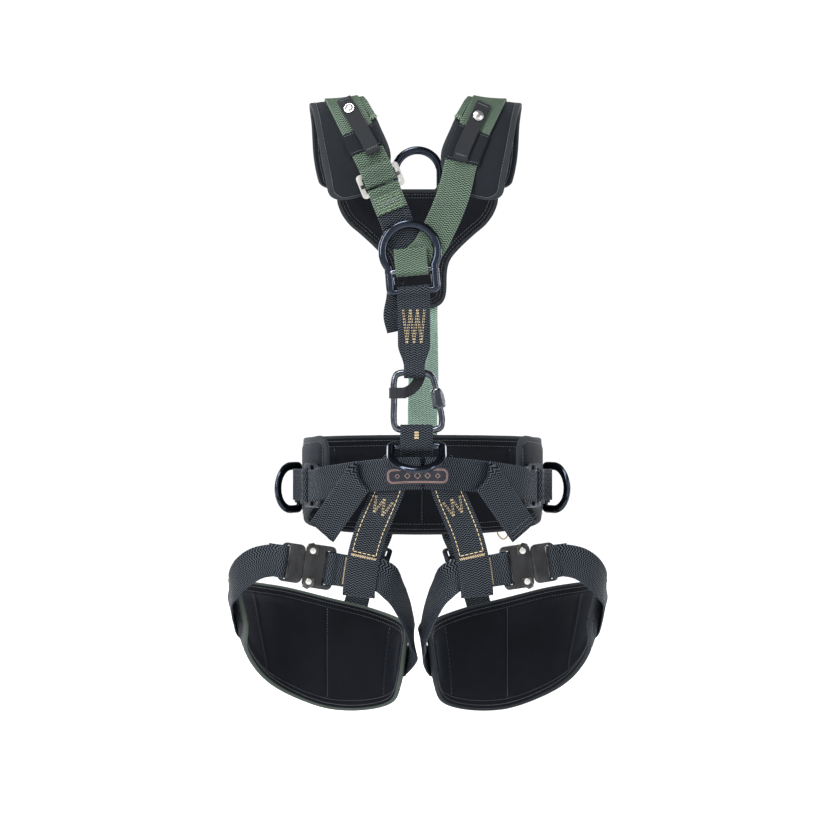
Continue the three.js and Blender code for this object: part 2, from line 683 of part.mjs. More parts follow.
function waistWebBack() {
  const end = (side) => {
    const { at, load, normal } = side < 0 ? waistSides.left : waistSides.right;
    return loopRows({
      centre: at.clone().addScaledVector(load, RAIL_AT), radius: RAIL_LOOP_R, out: normal,
      away: load.clone().negate(), bar: Z, rest: -RAIL_LOOP_R + LAYER, tail: 22,
    });
  };
  const middle = [];
  for (let angle = 84; angle <= 276; angle += 12) {
    middle.push(beltRow(angle > 180 ? angle - 360 : angle));
  }
  return strap([...end(1).reverse(), ...middle, ...end(-1)], { density: 2 });
}

for (const [name, side] of [["left", -1], ["right", 1]]) {
  const adjuster = waistSides[name];
  add(`waist_adjuster_frame_${name}`, adjusterFrame(), "bright_steel", adjuster.group);
  add(`waist_adjuster_bar_${name}`, adjusterBar(), "ring", adjuster.group);
  add(`waist_web_${name}`, waistWebFront(side, adjuster), "black_web");
}
add("waist_web_back", waistWebBack(), "black_web");

const LABEL = { wide: 25, thick: 1.2, up: -3.5 };
const LABEL_OUT = (WEB_T + LABEL.thick) / 2 + GAP;
const labelRows = [-17, -11, -5, 1, 7, 12].map((angle) => beltRow(angle, LABEL_OUT, LABEL.up));
add("label_patch", strap(labelRows, { width: LABEL.wide, thickness: LABEL.thick }), "label");

// ---------- side rings ----------

const SIDE_ANGLE = 103;
const SIDE_OUT = LAYER + RING_LOOP_R;
for (const [name, side] of [["left", -1], ["right", 1]]) {
  const { at, normal } = belt(side * SIDE_ANGLE, SIDE_OUT);
  const forward = v3(0, 0, side).cross(normal).negate().normalize();
  const point = forward.clone().applyAxisAngle(Z, side * rad(16));
  const bar = side < 0 ? Z : DOWN;
  add(`side_d_ring_${name}`, bentRing(dOutline(75, 58)), "ring", station(at, bar, point));
  const rows = loopRows({ centre: at, radius: RING_LOOP_R, out: normal, away: forward, bar: Z, tail: 16 });
  add(`side_ring_tab_${name}`, strap([extend(rows[0], forward, -34), ...rows], { density: 3 }), "black_web");
}

// ---------- back strap ----------

add(
  "back_strap",
  strap([
    [7, WEB_ON_YOKE, -100, 1, 0, 0],
    [7, WEB_ON_YOKE, -130, 1, 0, 0],
    [7, WEB_ON_YOKE + 0.4, -158, 1, 0, 0],
    [7, WEB_ON_YOKE + 5, -180, 1, 0, 0],
    [8, 16, -215, 1, 0, 0],
    [9, 54, -270, 1, 0, 0],
    [8, 86, -325, 1, 0, 0],
    [8, 92, -352, 1, 0, 0],
    [8, 92, -398, 1, 0, 0],
  ]),
  "mint_web",
);

// ---------- front risers ----------

// The riser turns round the lower edge of the leg webbing that it carries.
const LEG_WEB_AT = { x: 80, y: -160, z: -541.5 };
function frontRiser(side) {
  const across = (lean) => [0.97, 0, lean * side];
  const behindBelt = (bx, bz) => {
    const { at, normal } = belt(beltAngle(side * bx), -LAYER - 2.6);
    return [at.x, at.y, bz, -normal.y, normal.x, 0.42 * side];
  };
  const { x, y, z } = LEG_WEB_AT;
  const slack = LAYER + 1.6;
  const front = y - slack;
  const rear = y + slack;
  const low = z - WEB / 2 - 5;
  const turn = [0, 1, 2, 3, 4].map((i) => {
    const angle = (Math.PI * i) / 4;
    return [side * (x + 2), y - slack * Math.cos(angle), low - slack * Math.sin(angle), ...across(0.11)];
  });
  return strap([
    behindBelt(27, -386),
    behindBelt(36, -408),
    behindBelt(44, -431),
    [side * 66, front + 2, -486, ...across(0.34)],
    [side * 75, front, -518, ...across(0.22)],
    [side * (x - 1), front, z, ...across(0.14)],
    ...turn,
    [side * (x - 1), rear, z, ...across(0.14)],
    [side * 75, rear, -522, ...across(0.22)],
    [side * 70, front + 2.3 + LAYER, -502, ...across(0.31)],
    [side * 65, front + 3.6 + LAYER, -483, ...across(0.34)],
  ]);
}

// ---------- leg loops ----------

// Middle of the pad behind the thigh, from its outer end round the back to its inner end, with its width.
const LEG_PAD = [
  [250, -104, -589, -0.25, 0.1, -0.96, 70],
  [258, -62, -609, -0.22, 0, -0.97, 104],
  [238, -8, -637, -0.2, -0.1, -0.97, 142],
  [190, 36, -660, -0.08, -0.15, -0.98, 160],
  [130, 50, -679, 0, -0.15, -0.99, 162],
  [72, 40, -686, 0.05, -0.1, -0.99, 148],
  [30, 4, -685, 0.12, 0, -0.99, 118],
  [20, -42, -671, 0.14, 0, -0.98, 64],
];
const legSurface = (side) => rails(LEG_PAD.map(([x, y, z, ux, uy, uz, w]) => (
  [side * x, y, z, side * ux, uy, uz, w]
)));

const BUCKLE = { x: 150, y: -158, z: -531, wide: 60, thick: 10 };
const buckleAxis = (side) => v3(side, 0, 0.15).normalize();
const BODY_BAR = -29.5; // web bar of the buckle body, along its axis
const TONGUE_BAR = 39; // web bar of the tongue

// Local X points from the body to the tongue, Y is across, Z is outward.
function buckleBody() {
  const { wide, thick } = BUCKLE;
  const outer = plate(roundedRect(42, wide, 7), thick, 3).translate(-13, 0, 0);
  const throat = box(30, 38.8, 4.6, -3, 0, 0);
  const webSlot = box(5.6, WEB + 2.5, 20, -22.4, 0, 0);
  const relief = [1, -1].map((end) => box(13, WEB + 2.5, 6, -31.5, 0, end * (thick / 2 + 0.5)));
  const shell = cut(outer, throat, webSlot, ...relief);
  const rivets = [-1, 1].flatMap((end) => [
    new THREE.CylinderGeometry(2.6, 2.6, 7, 12).rotateX(Math.PI / 2).translate(-2, end * 21.5, 6),
    new THREE.CylinderGeometry(4.6, 4.2, 1.4, 12).rotateX(-Math.PI / 2).translate(-2, end * 21.5, 9.6),
  ]);
  return join(shell, ...rivets);
}

function buckleTongue() {
  const plateOutline = roundedRect(34, 54, 8);
  const slot = roundedRect(6.4, WEB + 2.5, 2);
  const head = cut(
    plate(plateOutline, 5, 3).translate(25.5, 0, 0),
    plate(slot, 8, 2).translate(31.8, 0, 0),
    box(6, 20, 8, 16, 0, 0),
  );
  return join(head, plate(roundedRect(32, 37.6, 5), 3.4, 2).translate(5, 0, 0));
}

function buckleLatch(end) {
  const shape = new THREE.Shape();
  shape.moveTo(-9, 17 * end);
  shape.lineTo(3.5, 17 * end);
  shape.lineTo(6, 30 * end);
  shape.lineTo(-1, 32.5 * end);
  shape.lineTo(-9, 27 * end);
  shape.closePath();
  const hole = new THREE.Path();
  hole.absarc(-2, 21.5 * end, 3.1, 0, 2 * Math.PI);
  shape.holes.push(hole);
  return plate(shape, 2.6, 5).translate(0, 0, BUCKLE.thick / 2 + 0.5 + 1.3);
}

function legWebOuter(side, surface) {
  const axis = buckleAxis(side);
  const across = FRONT.clone().cross(axis);
  const bar = v3(side * BUCKLE.x, BUCKLE.y, BUCKLE.z).addScaledVector(axis, TONGUE_BAR);
  const rows = loopRows({
    centre: bar, radius: 6.5, out: Y, away: axis.clone().negate(), bar: across,
    main: -1.2, rest: 1.9, tail: 12,
  });
  const on = (t) => onPad(surface, 0.5, t, -side * (PAD_T / 2 + GAP + WEB_T / 2 + 2), -side);
  return strap([
    on(0.36), on(0.28), on(0.2), on(0.12),
    [side * 263, -112, -580, 0, 0, side],
    [side * 259, -128, -563, 0, 0, side],
    [side * 245, -145, -543, 0, 0, side],
    [side * 223, -157, -528, 0, 0, side],
    ...rows,
  ], { density: 4 });
}

function legWebInner(side, surface) {
  const axis = buckleAxis(side);
  const across = FRONT.clone().cross(axis);
  const bar = v3(side * BUCKLE.x, BUCKLE.y, BUCKLE.z).addScaledVector(axis, BODY_BAR);
  const rows = loopRows({
    centre: bar, radius: 6.8, out: Y, away: axis, bar: across, main: -2, rest: 0.9, tail: 3, turn: 0.8,
  });
  const on = (t) => onPad(surface, 0.5, t, -side * (PAD_T / 2 + GAP + WEB_T / 2 + 2), -side);
  const { x, y, z } = LEG_WEB_AT;
  const slope = axis.z / Math.abs(axis.x);
  const crossing = (dx) => [side * (x + dx), y, z + dx * slope, ...across.toArray()];
  return strap([
    on(0.72), on(0.8), on(0.88), on(0.95),
    [side * 5.5, -62, -652, side * -0.14, 0, side],
    [side * 8, -80, -636, 0, 0, side],
    [side * 14, -106, -610, 0, 0, side],
    [side * 24, -133, -582, 0, 0, side],
    [side * 36, -152, -560, 0, 0, side],
    crossing(-30),
    crossing(0),
    crossing(25),
    ...rows,
  ], { density: 2 });
}

for (const [name, side] of [["left", -1], ["right", 1]]) {
  const surface = legSurface(side);
  add(`front_riser_${name}`, frontRiser(side), "black_web");
  add(`leg_pad_${name}`, pad(surface, { steps: 26, rows: 4 }), "pad");
  add(`leg_web_outer_${name}`, legWebOuter(side, surface), "black_web");
  add(`leg_web_inner_${name}`, legWebInner(side, surface), "black_web");
  const axis = buckleAxis(side);
  const group = station(v3(side * BUCKLE.x, BUCKLE.y, BUCKLE.z), axis, FRONT.clone().cross(axis));
  add(`buckle_body_${name}`, buckleBody(), "buckle", group);
  add(`buckle_tongue_${name}`, buckleTongue(), "buckle", group);
  add(`buckle_latch_upper_${name}`, buckleLatch(side), "latch", group);
  add(`buckle_latch_lower_${name}`, buckleLatch(-side), "latch", group);
}

// ---------- rear risers and their tri-glide buckles ----------

const GLIDE = { long: 32, wide: 56, thick: 3, slot: 8, bar: 3 };
function rearRiser(side, surface) {
  const onBelt = (x, z) => {
    const { at, normal } = belt(180 - beltAngle(side * x), 0);
    return [at.x, at.y, z, -normal.y, normal.x, 0];
  };
  const centre = v3(side * 68, 84, -533);
  const down = v3(side * 0.3, -0.25, -0.92).normalize();
  const across = v3(-1, 0, -0.33 * side).normalize();
  const back = down.clone().cross(across).normalize();
  const weave = [[-16, -3], [-11, -2.9], [-7, 0], [-3, 2.9], [0, 3.2], [3, 2.9], [7, 0], [11, -2.9], [16, -3]];
  const rows = weave.map(([s, h]) => {
    const p = centre.clone().addScaledVector(down, s).addScaledVector(back, h);
    return [...p.toArray(), ...across.toArray()];
  });
  const reach = -side * (PAD_T / 2 + GAP + 1.4);
  const sign = -1;
  const geometry = strap([
    onBelt(50, -460),
    onBelt(52, -480),
    onBelt(55, -500),
    ...rows,
    onPad(surface, 0.04, 0.65, reach, sign, true),
    onPad(surface, 0.22, 0.65, reach, sign, true),
    onPad(surface, 0.42, 0.65, reach, sign, true),
  ], { width: 38, thickness: 2, density: 3 });
  const group = station(centre, down, across);
  return { geometry, group };
}

function triGlide() {
  const slots = [-1, 1].map((end) => box(GLIDE.slot, 41, 10, end * (GLIDE.bar + GLIDE.slot / 2), 0, 0));
  return cut(plate(roundedRect(GLIDE.long, GLIDE.wide, 5), GLIDE.thick, 3), ...slots);
}

for (const [name, side] of [["left", -1], ["right", 1]]) {
  const { geometry, group } = rearRiser(side, legSurface(side));
  add(`rear_riser_${name}`, geometry, "black_web");
  add(`rear_riser_buckle_${name}`, triGlide(), "steel", group);
}

// ---------- lanyard keepers and their snaps ----------

// Each runs from one place along SHOULDER to another. `inward` and `lift` are given for its two ends.
const KEEPERS = {
  left: { side: -1, from: 4.85, to: 6.8, inward: [9, 22], lift: [LAYER + 3.2, LAYER + 7] },
  right: { side: 1, from: 5.1, to: 7, inward: [12, 18], lift: [LAYER + 3.2, LAYER + 4.4] },
};
const CAP_PROFILE = [[0, 0], [7.5, 0], [7.5, 1], [5.5, 2.3], [0, 2.6]]; // radius and height
function keeperRow({ side, from, to, inward, lift }, share, above = 0) {
  const { lerp } = THREE.MathUtils;
  return onShoulder(side, lerp(from, to, share), lerp(...inward, share), lerp(...lift, share) + above);
}
for (const [name, keeper] of Object.entries(KEEPERS)) {
  const rows = [0, 0.2, 0.4, 0.6, 0.8, 1].map((share) => keeperRow(keeper, share));
  add(`lanyard_keeper_${name}`, strap(rows, { width: 21, thickness: 1.6, density: 2 }), "black_web");
  const [x, y, z, ...across] = keeperRow(keeper, 0.24, 1.4);
  const [x2, y2, z2] = keeperRow(keeper, 0.3, 1.4);
  const along = v3(x2 - x, y2 - y, z2 - z).normalize();
  const profile = CAP_PROFILE.map(([r, h]) => new THREE.Vector2(r, h));
  const cap = new THREE.LatheGeometry(profile, 16).rotateX(Math.PI / 2);
  add(`snap_cap_${name}`, cap, "bright_steel", station(v3(x, y, z), along, v3(...across)));
}

// ---------- tool loops ----------

function toolLoop(side) {
  const half = [[4, 0.4, -474], [4, 0.4, -490], [3, 1, -503]]; // degrees round the belt, out from it, height
  const other = half.map(([turn, out, z]) => [-turn, out, z]).reverse();
  const points = [...half, [0, 1.4, -509], ...other];
  const middle = 180 - beltAngle(side * 128);
  const path = smooth(points.map(([turn, out, z]) => {
    const { at } = belt(middle + turn, out);
    return [at.x, at.y, z];
  }));
  const section = new THREE.Shape();
  section.absarc(0, 0, 1.2, 0, 2 * Math.PI);
  const sweep = { steps: 18, extrudePath: path, curveSegments: 4, bevelEnabled: false };
  return new THREE.ExtrudeGeometry(section, sweep);
}
add("tool_loop_left", toolLoop(-1), "cord");
add("tool_loop_right", toolLoop(1), "cord");

export default root;
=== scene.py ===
# Tree climbing saddle, the visual model: webbing, pads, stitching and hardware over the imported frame.
# Routes are worked out in millimetres, in the row frame, and turned into metres when a mesh is made.
import math
import random

import bmesh
import bpy
import numpy as np
from mathutils import Matrix, Vector
from mathutils.geometry import delaunay_2d_cdt


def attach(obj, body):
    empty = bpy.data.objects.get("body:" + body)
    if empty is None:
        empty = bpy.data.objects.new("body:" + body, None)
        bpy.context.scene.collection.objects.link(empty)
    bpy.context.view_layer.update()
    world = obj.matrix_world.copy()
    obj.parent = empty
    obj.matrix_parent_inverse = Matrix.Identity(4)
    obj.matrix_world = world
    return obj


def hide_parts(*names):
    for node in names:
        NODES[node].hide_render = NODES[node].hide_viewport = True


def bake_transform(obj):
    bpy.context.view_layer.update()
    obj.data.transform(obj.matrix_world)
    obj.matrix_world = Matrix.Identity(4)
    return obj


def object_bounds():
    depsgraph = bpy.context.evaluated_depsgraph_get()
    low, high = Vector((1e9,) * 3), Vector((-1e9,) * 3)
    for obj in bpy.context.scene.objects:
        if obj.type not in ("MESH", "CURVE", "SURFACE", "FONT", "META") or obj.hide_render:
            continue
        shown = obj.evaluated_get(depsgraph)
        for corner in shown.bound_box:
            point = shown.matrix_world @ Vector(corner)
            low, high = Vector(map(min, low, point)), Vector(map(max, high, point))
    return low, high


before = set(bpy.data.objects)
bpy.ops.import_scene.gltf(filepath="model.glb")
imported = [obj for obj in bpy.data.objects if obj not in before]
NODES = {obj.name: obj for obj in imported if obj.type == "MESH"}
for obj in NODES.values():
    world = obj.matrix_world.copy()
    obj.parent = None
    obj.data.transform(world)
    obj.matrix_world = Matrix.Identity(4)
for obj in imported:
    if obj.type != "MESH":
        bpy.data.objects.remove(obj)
CAD_BOX = [list(corner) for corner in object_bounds()]
MM = 0.001
X, Y, Z = np.eye(3)
FRONT = -Y
DOWN = -Z

# ---------- driving dimensions, as in the frame ----------
WEB = 45.0
WEB_T = 2.2
GAP = 0.5
PAD_T = 10.0
BINDING_T = 4.5
RING_W = 12.0
RING_T = 8.4
BAR_R = 4.2
LINK_R = 4.5
LAYER = WEB_T + GAP
OCTAGON = 1 / math.cos(math.pi / 8)
RING_LOOP_R = BAR_R * OCTAGON + GAP + WEB_T / 2
LINK_LOOP_R = LINK_R * OCTAGON + GAP + WEB_T / 2
YOKE_FRONT = -21.0
YOKE_BACK = -12.0
FRONT_Y = -172.0
SIDES = (("left", -1), ("right", 1))


def v3(x, y, z):
    return np.array([x, y, z], float)


def unit(v):
    return np.asarray(v, float) / np.linalg.norm(v)


def smoothstep(low, high, x):
    t = min(1.0, max(0.0, (x - low) / (high - low)))
    return t * t * (3 - 2 * t)


def circle(count):
    """Angles spread evenly over one turn."""
    return [2 * math.pi * k / count for k in range(count)]


def bulge(x, power):
    """A power that keeps the sign of x."""
    return math.copysign(abs(x) ** power, x)


def running(points):
    """The length of a run of points up to each of them."""
    return np.concatenate([[0], np.cumsum(np.linalg.norm(np.diff(points, axis=0), axis=1))])


# ---------- curves ----------

def catmull(points, centripetal=True):
    """Curve through points of any dimension, as a function of the share of its segments covered."""
    p = np.asarray(points, float)
    count = len(p)

    def at(t):
        spot = (count - 1) * min(1.0, max(0.0, t))
        i = min(int(spot), count - 2)
        w = spot - i
        p1, p2 = p[i], p[i + 1]
        p0 = p[i - 1] if i > 0 else 2 * p[0] - p[1]
        p3 = p[i + 2] if i + 2 < count else 2 * p[-1] - p[-2]
        if centripetal:
            d0, d1, d2 = (max(1e-6, np.linalg.norm(b - a)) ** 0.5 for a, b in ((p0, p1), (p1, p2), (p2, p3)))
            m1 = ((p1 - p0) / d0 - (p2 - p0) / (d0 + d1) + (p2 - p1) / d1) * d1
            m2 = ((p2 - p1) / d1 - (p3 - p1) / (d1 + d2) + (p3 - p2) / d2) * d1
        else:
            m1 = 0.5 * (p2 - p0)
            m2 = 0.5 * (p3 - p1)
        return (
            p1
            + m1 * w
            + (-3 * p1 + 3 * p2 - 2 * m1 - m2) * w * w
            + (2 * p1 - 2 * p2 + m1 + m2) * w * w * w
        )

    return at


ROUTE_STEPS = 14


class Ribbon:
    """A strap's route. Rows are [x, y, z, ux, uy, uz]; s is the length along it in millimetres."""

    def __init__(self, route, width=WEB, thickness=WEB_T):
        route = np.asarray(route, float)
        self.centre = catmull(route[:, :3])
        self.across = catmull(route[:, 3:], centripetal=False)
        self.width = width
        self.thickness = thickness
        self.ts = np.linspace(0, 1, ROUTE_STEPS * (len(route) - 1) + 1)
        self.spots = np.array([self.centre(t) for t in self.ts])
        self.ss = running(self.spots)
        self.length = float(self.ss[-1])

    def frame(self, s):
        t = float(np.interp(s, self.ss, self.ts))
        at = self.centre(t)
        along = unit(self.centre(min(1, t + 1e-3)) - self.centre(max(0, t - 1e-3)))
        wide = self.across(t)
        side = unit(wide - along * np.dot(wide, along))
        return at, side, np.cross(along, side)

    def half_width(self, s):
        return (self.width(self.frame(s)[0]) if callable(self.width) else self.width) / 2

    def point(self, u, s, lift):
        at, side, out = self.frame(s)
        return at + side * u + out * lift

    def nearest(self, spot):
        """Length along the route at which it passes closest to a point."""
        return float(self.ss[np.argmin(np.linalg.norm(self.spots - np.asarray(spot[:3]), axis=1))])

    def front_face(self, s):
        """The face that looks to the front at a length: 1 or -1."""
        return 1 if self.frame(s)[2][1] < 0 else -1


# ---------- meshes ----------

def in_scene(obj):
    bpy.context.scene.collection.objects.link(obj)
    return obj


class Build:
    """Collects vertices, faces, material numbers and UVs in millimetres, and makes one object of them."""

    def __init__(self):
        self.verts = []
        self.faces = []
        self.uvs = []
        self.mats = []

    def face(self, corners, uvs, mat):
        self.faces.append(tuple(corners))
        self.uvs.append(uvs)
        self.mats.append(mat)

    def grid(self, rows, uvs, mat=0, closed=False):
        """Rows of points joined to their neighbours; closed joins the last point of a row to its first."""
        base = len(self.verts)
        n = len(rows[0])
        self.verts.extend(point for points in rows for point in points)
        for i in range(len(rows) - 1):
            for j in range(n if closed else n - 1):
                a, b = base + i * n + j, base + i * n + (j + 1) % n
                around = (uvs[i][j], uvs[i][j + 1], uvs[i + 1][j + 1], uvs[i + 1][j])
                self.face((a, b, b + n, a + n), around, mat)
        return base

    def loft(self, rows, uvs, mat=0):
        """A closed skin round rows of points, with a cap on both ends."""
        n = len(rows[0])
        base = self.grid(rows, uvs, mat, closed=True)
        end = base + (len(rows) - 1) * n
        self.face(reversed(range(base, base + n)), [(0.0, 0.0)] * n, mat)
        self.face(range(end, end + n), [(0.0, 0.0)] * n, mat)

    def tube(self, spots, radius, sides=6, mat=0, across=None):
        """Round tube along points. radius may be a list; across fixes the section's first axis."""
        spots = np.asarray(spots, float)
        normal = None
        rows, uvs = [], []
        for spot, r, run, way in zip(spots, np.broadcast_to(radius, len(spots)), running(spots),
                                     np.gradient(spots, axis=0)):
            d = unit(way)
            if across is not None:
                normal = across
            elif normal is None:
                normal = np.cross(d, Z if abs(d[2]) < 0.9 else X)
            normal = unit(normal - d * np.dot(normal, d))
            other = np.cross(d, normal)
            rows.append([spot + r * (normal * math.cos(a) + other * math.sin(a)) for a in circle(sides)])
            uvs.append([(r * 2 * math.pi * k / sides, run) for k in range(sides + 1)])
        self.loft(rows, uvs, mat)

    def object(self, name, *materials):
        mesh = bpy.data.meshes.new(name)
        mesh.from_pydata([tuple(v * MM) for v in map(np.asarray, self.verts)], [], self.faces)
        flat = [c * MM for face in self.uvs for uv in face for c in uv]
        mesh.uv_layers.new(name="weave").data.foreach_set("uv", flat)
        for material in materials:
            mesh.materials.append(material)
        mesh.polygons.foreach_set("material_index", self.mats)
        mesh.polygons.foreach_set("use_smooth", [True] * len(self.faces))
        mesh.validate()
        mesh.update()
        return in_scene(bpy.data.objects.new(name, mesh))


def webbing_section(half, r):
    """Outline of woven webbing: flat faces, slightly fuller rounded selvedges. Rows are (x, y)."""
    xs = np.linspace(-half + r, half - r, 13)
    top = [(x, r * (1 + 0.14 * smoothstep(0.8, 0.97, abs(x) / (half - r)))) for x in xs]
    bend = [math.radians(a) for a in (55, 20, -20, -55)]
    right = [(half - r + r * math.cos(a), 1.1 * r * math.sin(a)) for a in bend]
    lower = [(x, -y) for x, y in reversed(top)]
    left = [(-x, -y) for x, y in right]
    return top + right + lower + left


WEB_STEP = 3.0
WEB_EASE = 12.0


def lay_webbing(build, ribbon, wave=0.22, seed=0):
    """A strap along its route. It waves a little, except at its ends."""
    rng = random.Random(seed)
    phase = [rng.uniform(0, 6.28) for _ in range(3)]
    count = max(8, int(ribbon.length / WEB_STEP))
    rows, uvs = [], []
    for s in np.linspace(0, ribbon.length, count + 1):
        at, side, out = ribbon.frame(s)
        section = webbing_section(ribbon.half_width(s), ribbon.thickness / 2)
        high = wave / 2 * min(1.0, s / WEB_EASE, (ribbon.length - s) / WEB_EASE)
        lift = high * (math.sin(s / 13 + phase[0]) + 0.6 * math.sin(s / 5.7 + phase[1]))
        lean = high * math.sin(s / 9 + phase[2]) / WEB
        rows.append([at + side * x + out * (y + lift + lean * x) for x, y in section])
        uvs.append([(x, s) for x, _ in section + section[:1]])
    build.loft(rows, uvs)


STITCH = ((0, -0.5), (0.18, 0.45), (0.5, 0.8), (0.82, 0.45), (1, -0.5))
STITCH_TAPER = (0.7, 1, 1, 1, 0.7)


def sew(build, place, path, mat=1, length=3.0, gap=1.1, radius=0.36):
    """Stitches along a path of (u, s). place(u, s, lift) gives the point that far above the cloth."""
    path = np.asarray(path, float)
    for a, b in zip(path, path[1:]):
        run = float(np.linalg.norm(b - a))
        if run < 1e-6:
            continue
        count = max(1, round(run / (length + gap)))
        pitch = run / count
        for k in range(count):
            start = (k * pitch + gap / 2) / run
            end = ((k + 1) * pitch - gap / 2) / run
            spots = [place(*(a + (b - a) * (start + (end - start) * f)), h * radius) for f, h in STITCH]
            build.tube(spots, [radius * q for q in STITCH_TAPER], mat=mat)


def on_face(ribbon, face=1):
    """A place function for one face of a strap."""
    return lambda u, s, lift: ribbon.point(u, s, face * (ribbon.thickness / 2 + lift))


def cross_rows(build, ribbon, lengths, half, mat=1, face=1, **how):
    """Straight rows of stitches across a strap."""
    for s in lengths:
        sew(build, on_face(ribbon, face), [(-half, s), (half, s)], mat, **how)


def zigzag(build, ribbon, low, high, half, strokes, face, shift=0.0, **how):
    path = [(shift - half + 2 * half * k / strokes, high if k % 2 else low) for k in range(strokes + 1)]
    sew(build, on_face(ribbon, face), path, radius=0.3, **how)


def bar_tack(build, ribbon, s, face, wide, tall):
    """Dense zigzag across a strap."""
    half = ribbon.half_width(s) * wide
    zigzag(build, ribbon, s, s + tall, half, int(half * 2 / 1.25), face, length=20, gap=0.1)


def w_tack(build, ribbon, s0, s1, strokes, face, wide):
    """Two rows of tall zigzag side by side, as sewn where straps join."""
    half = ribbon.half_width((s0 + s1) / 2) * wide
    for shift in (-1.0, 1.0):
        zigzag(build, ribbon, s0, s1, half, strokes, face, shift, length=2.6, gap=1.5)


# ---------- materials ----------

class Value:
    """An output in a material's node tree. Arithmetic with it adds nodes to the tree."""

    def __init__(self, shade, output):
        self.shade = shade
        self.output = output

    def __add__(self, other):
        return self.shade.math("ADD", self, other)

    def __sub__(self, other):
        return self.shade.math("SUBTRACT", self, other)

    def __rsub__(self, other):
        return self.shade.math("SUBTRACT", other, self)

    def __mul__(self, other):
        return self.shade.math("MULTIPLY", self, other)

    def __truediv__(self, other):
        return self.shade.math("DIVIDE", self, other)


class Shade:
    """A material and short names for the nodes that it is made of."""

    def __init__(self, name):
        self.material = bpy.data.materials.new(name)
        self.material.use_nodes = True
        self.tree = self.material.node_tree
        self.shader = self.tree.nodes["Principled BSDF"]

    def link(self, value, socket):
        if isinstance(value, Value):
            self.tree.links.new(value.output, socket)
        else:
            socket.default_value = value

    def node(self, kind, *inputs, **values):
        """A new node with its settings and its first inputs."""
        node = self.tree.nodes.new(kind)
        for key, value in values.items():
            setattr(node, key, value)
        for value, socket in zip(inputs, node.inputs):
            self.link(value, socket)
        return node

    def result(self, kind, *inputs, output=0, **values):
        return Value(self, self.node(kind, *inputs, **values).outputs[output])

    def math(self, operation, *inputs):
        return self.result("ShaderNodeMath", *inputs, operation=operation)

    def mix(self, share, a, b):
        node = self.node("ShaderNodeMix", share, data_type="RGBA")
        self.link(a if isinstance(a, Value) else (*a, 1), node.inputs[6])
        self.link(b if isinstance(b, Value) else (*b, 1), node.inputs[7])
        return Value(self, node.outputs[2])

    def ramp(self, value, low, high, a=0.0, b=1.0):
        return self.result("ShaderNodeMapRange", value, low, high, a, b, interpolation_type="SMOOTHSTEP")

    def uv(self):
        """The strap's own coordinates in millimetres: across, along."""
        both = self.result("ShaderNodeUVMap", uv_map="weave")
        split = self.node("ShaderNodeSeparateXYZ", both)
        return [Value(self, split.outputs[i]) * 1000 for i in (0, 1)]

    def vector(self, x, y):
        return self.result("ShaderNodeCombineXYZ", x, y)

    def place(self, scale=1000.0):
        """Place in the row frame, in millimetres unless another scale is given."""
        spot = self.result("ShaderNodeTexCoord", output="Object")
        node = self.node("ShaderNodeVectorMath", spot, operation="SCALE")
        node.inputs["Scale"].default_value = scale
        return Value(self, node.outputs[0])

    def noise(self, vector, scale, detail=3.0):
        node = self.node("ShaderNodeTexNoise", vector)
        node.inputs["Scale"].default_value = scale
        node.inputs["Detail"].default_value = detail
        node.inputs["Roughness"].default_value = 0.55
        return Value(self, node.outputs[0])

    def wave(self, value, pitch):
        """0 to 1 and back once per pitch."""
        return self.math("SINE", value * (2 * math.pi / pitch)) * 0.5 + 0.5

    def bump(self, height, strength, distance):
        node = self.node("ShaderNodeBump")
        self.link(height, node.inputs["Height"])
        node.inputs["Strength"].default_value = strength
        node.inputs["Distance"].default_value = distance * MM
        self.tree.links.new(node.outputs[0], self.shader.inputs["Normal"])

    def set(self, **values):
        names = {"color": "Base Color", "sheen": "Sheen Weight", "sheen_tint": "Sheen Tint",
                 "sheen_roughness": "Sheen Roughness", "specular": "Specular IOR Level"}
        for key, value in values.items():
            value = (*value, 1) if isinstance(value, tuple) else value
            self.link(value, self.shader.inputs[names.get(key, key.capitalize())])
        return self.material


PICK_PITCH = 3.3
PICK_COLUMN = 8.4


def woven(name, dark, light, tint=(0.6, 0.7, 0.85)):
    """Chevron webbing: columns of slanted picks between warp lines, with lighter worn selvedges."""
    m = Shade(name)
    x, y = m.uv()
    lean = m.math("ABSOLUTE", m.math("FRACT", x / PICK_COLUMN) - 0.5)
    pick = m.wave(lean * (1.7 * PICK_PITCH) + y, PICK_PITCH)
    weave = m.wave(x, PICK_COLUMN / 4) * 0.3 + pick * 0.7
    fibre = m.noise(m.vector(x * 3.0, y * 0.7), 1.0, 4.0)
    cloud = m.noise(m.place(), 0.012)
    selvedge = m.ramp(m.math("ABSOLUTE", x), WEB / 2 - 3.2, WEB / 2 - 0.5)
    shade = (fibre - 0.5) * 0.5 + m.ramp(weave, 0.2, 0.9) + (cloud - 0.5) * 0.7 + selvedge * 0.25
    m.bump(fibre * 0.2 + weave, 1.0, 0.5)
    return m.set(color=m.mix(m.ramp(shade, 0.0, 1.0), dark, light), roughness=(1.0 - weave) * 0.25 + 0.48,
                 sheen=0.03, sheen_tint=tint, sheen_roughness=0.4, specular=m.ramp(weave, 0.35, 0.95) * 0.5)


def ribbed(name, dark, light, pitch=1.1):
    """Grosgrain tape and elastic: ribs across the tape."""
    m = Shade(name)
    x, y = m.uv()
    rib = m.wave(y, pitch)
    fibre = m.noise(m.vector(x, y * 0.3), 2.5)
    m.bump(rib, 0.8, 0.22)
    return m.set(color=m.mix(fibre * 0.5 + rib * 0.5, dark, light), roughness=0.75, sheen=0.05,
                 sheen_tint=(0.7, 0.75, 0.85), specular=0.2)


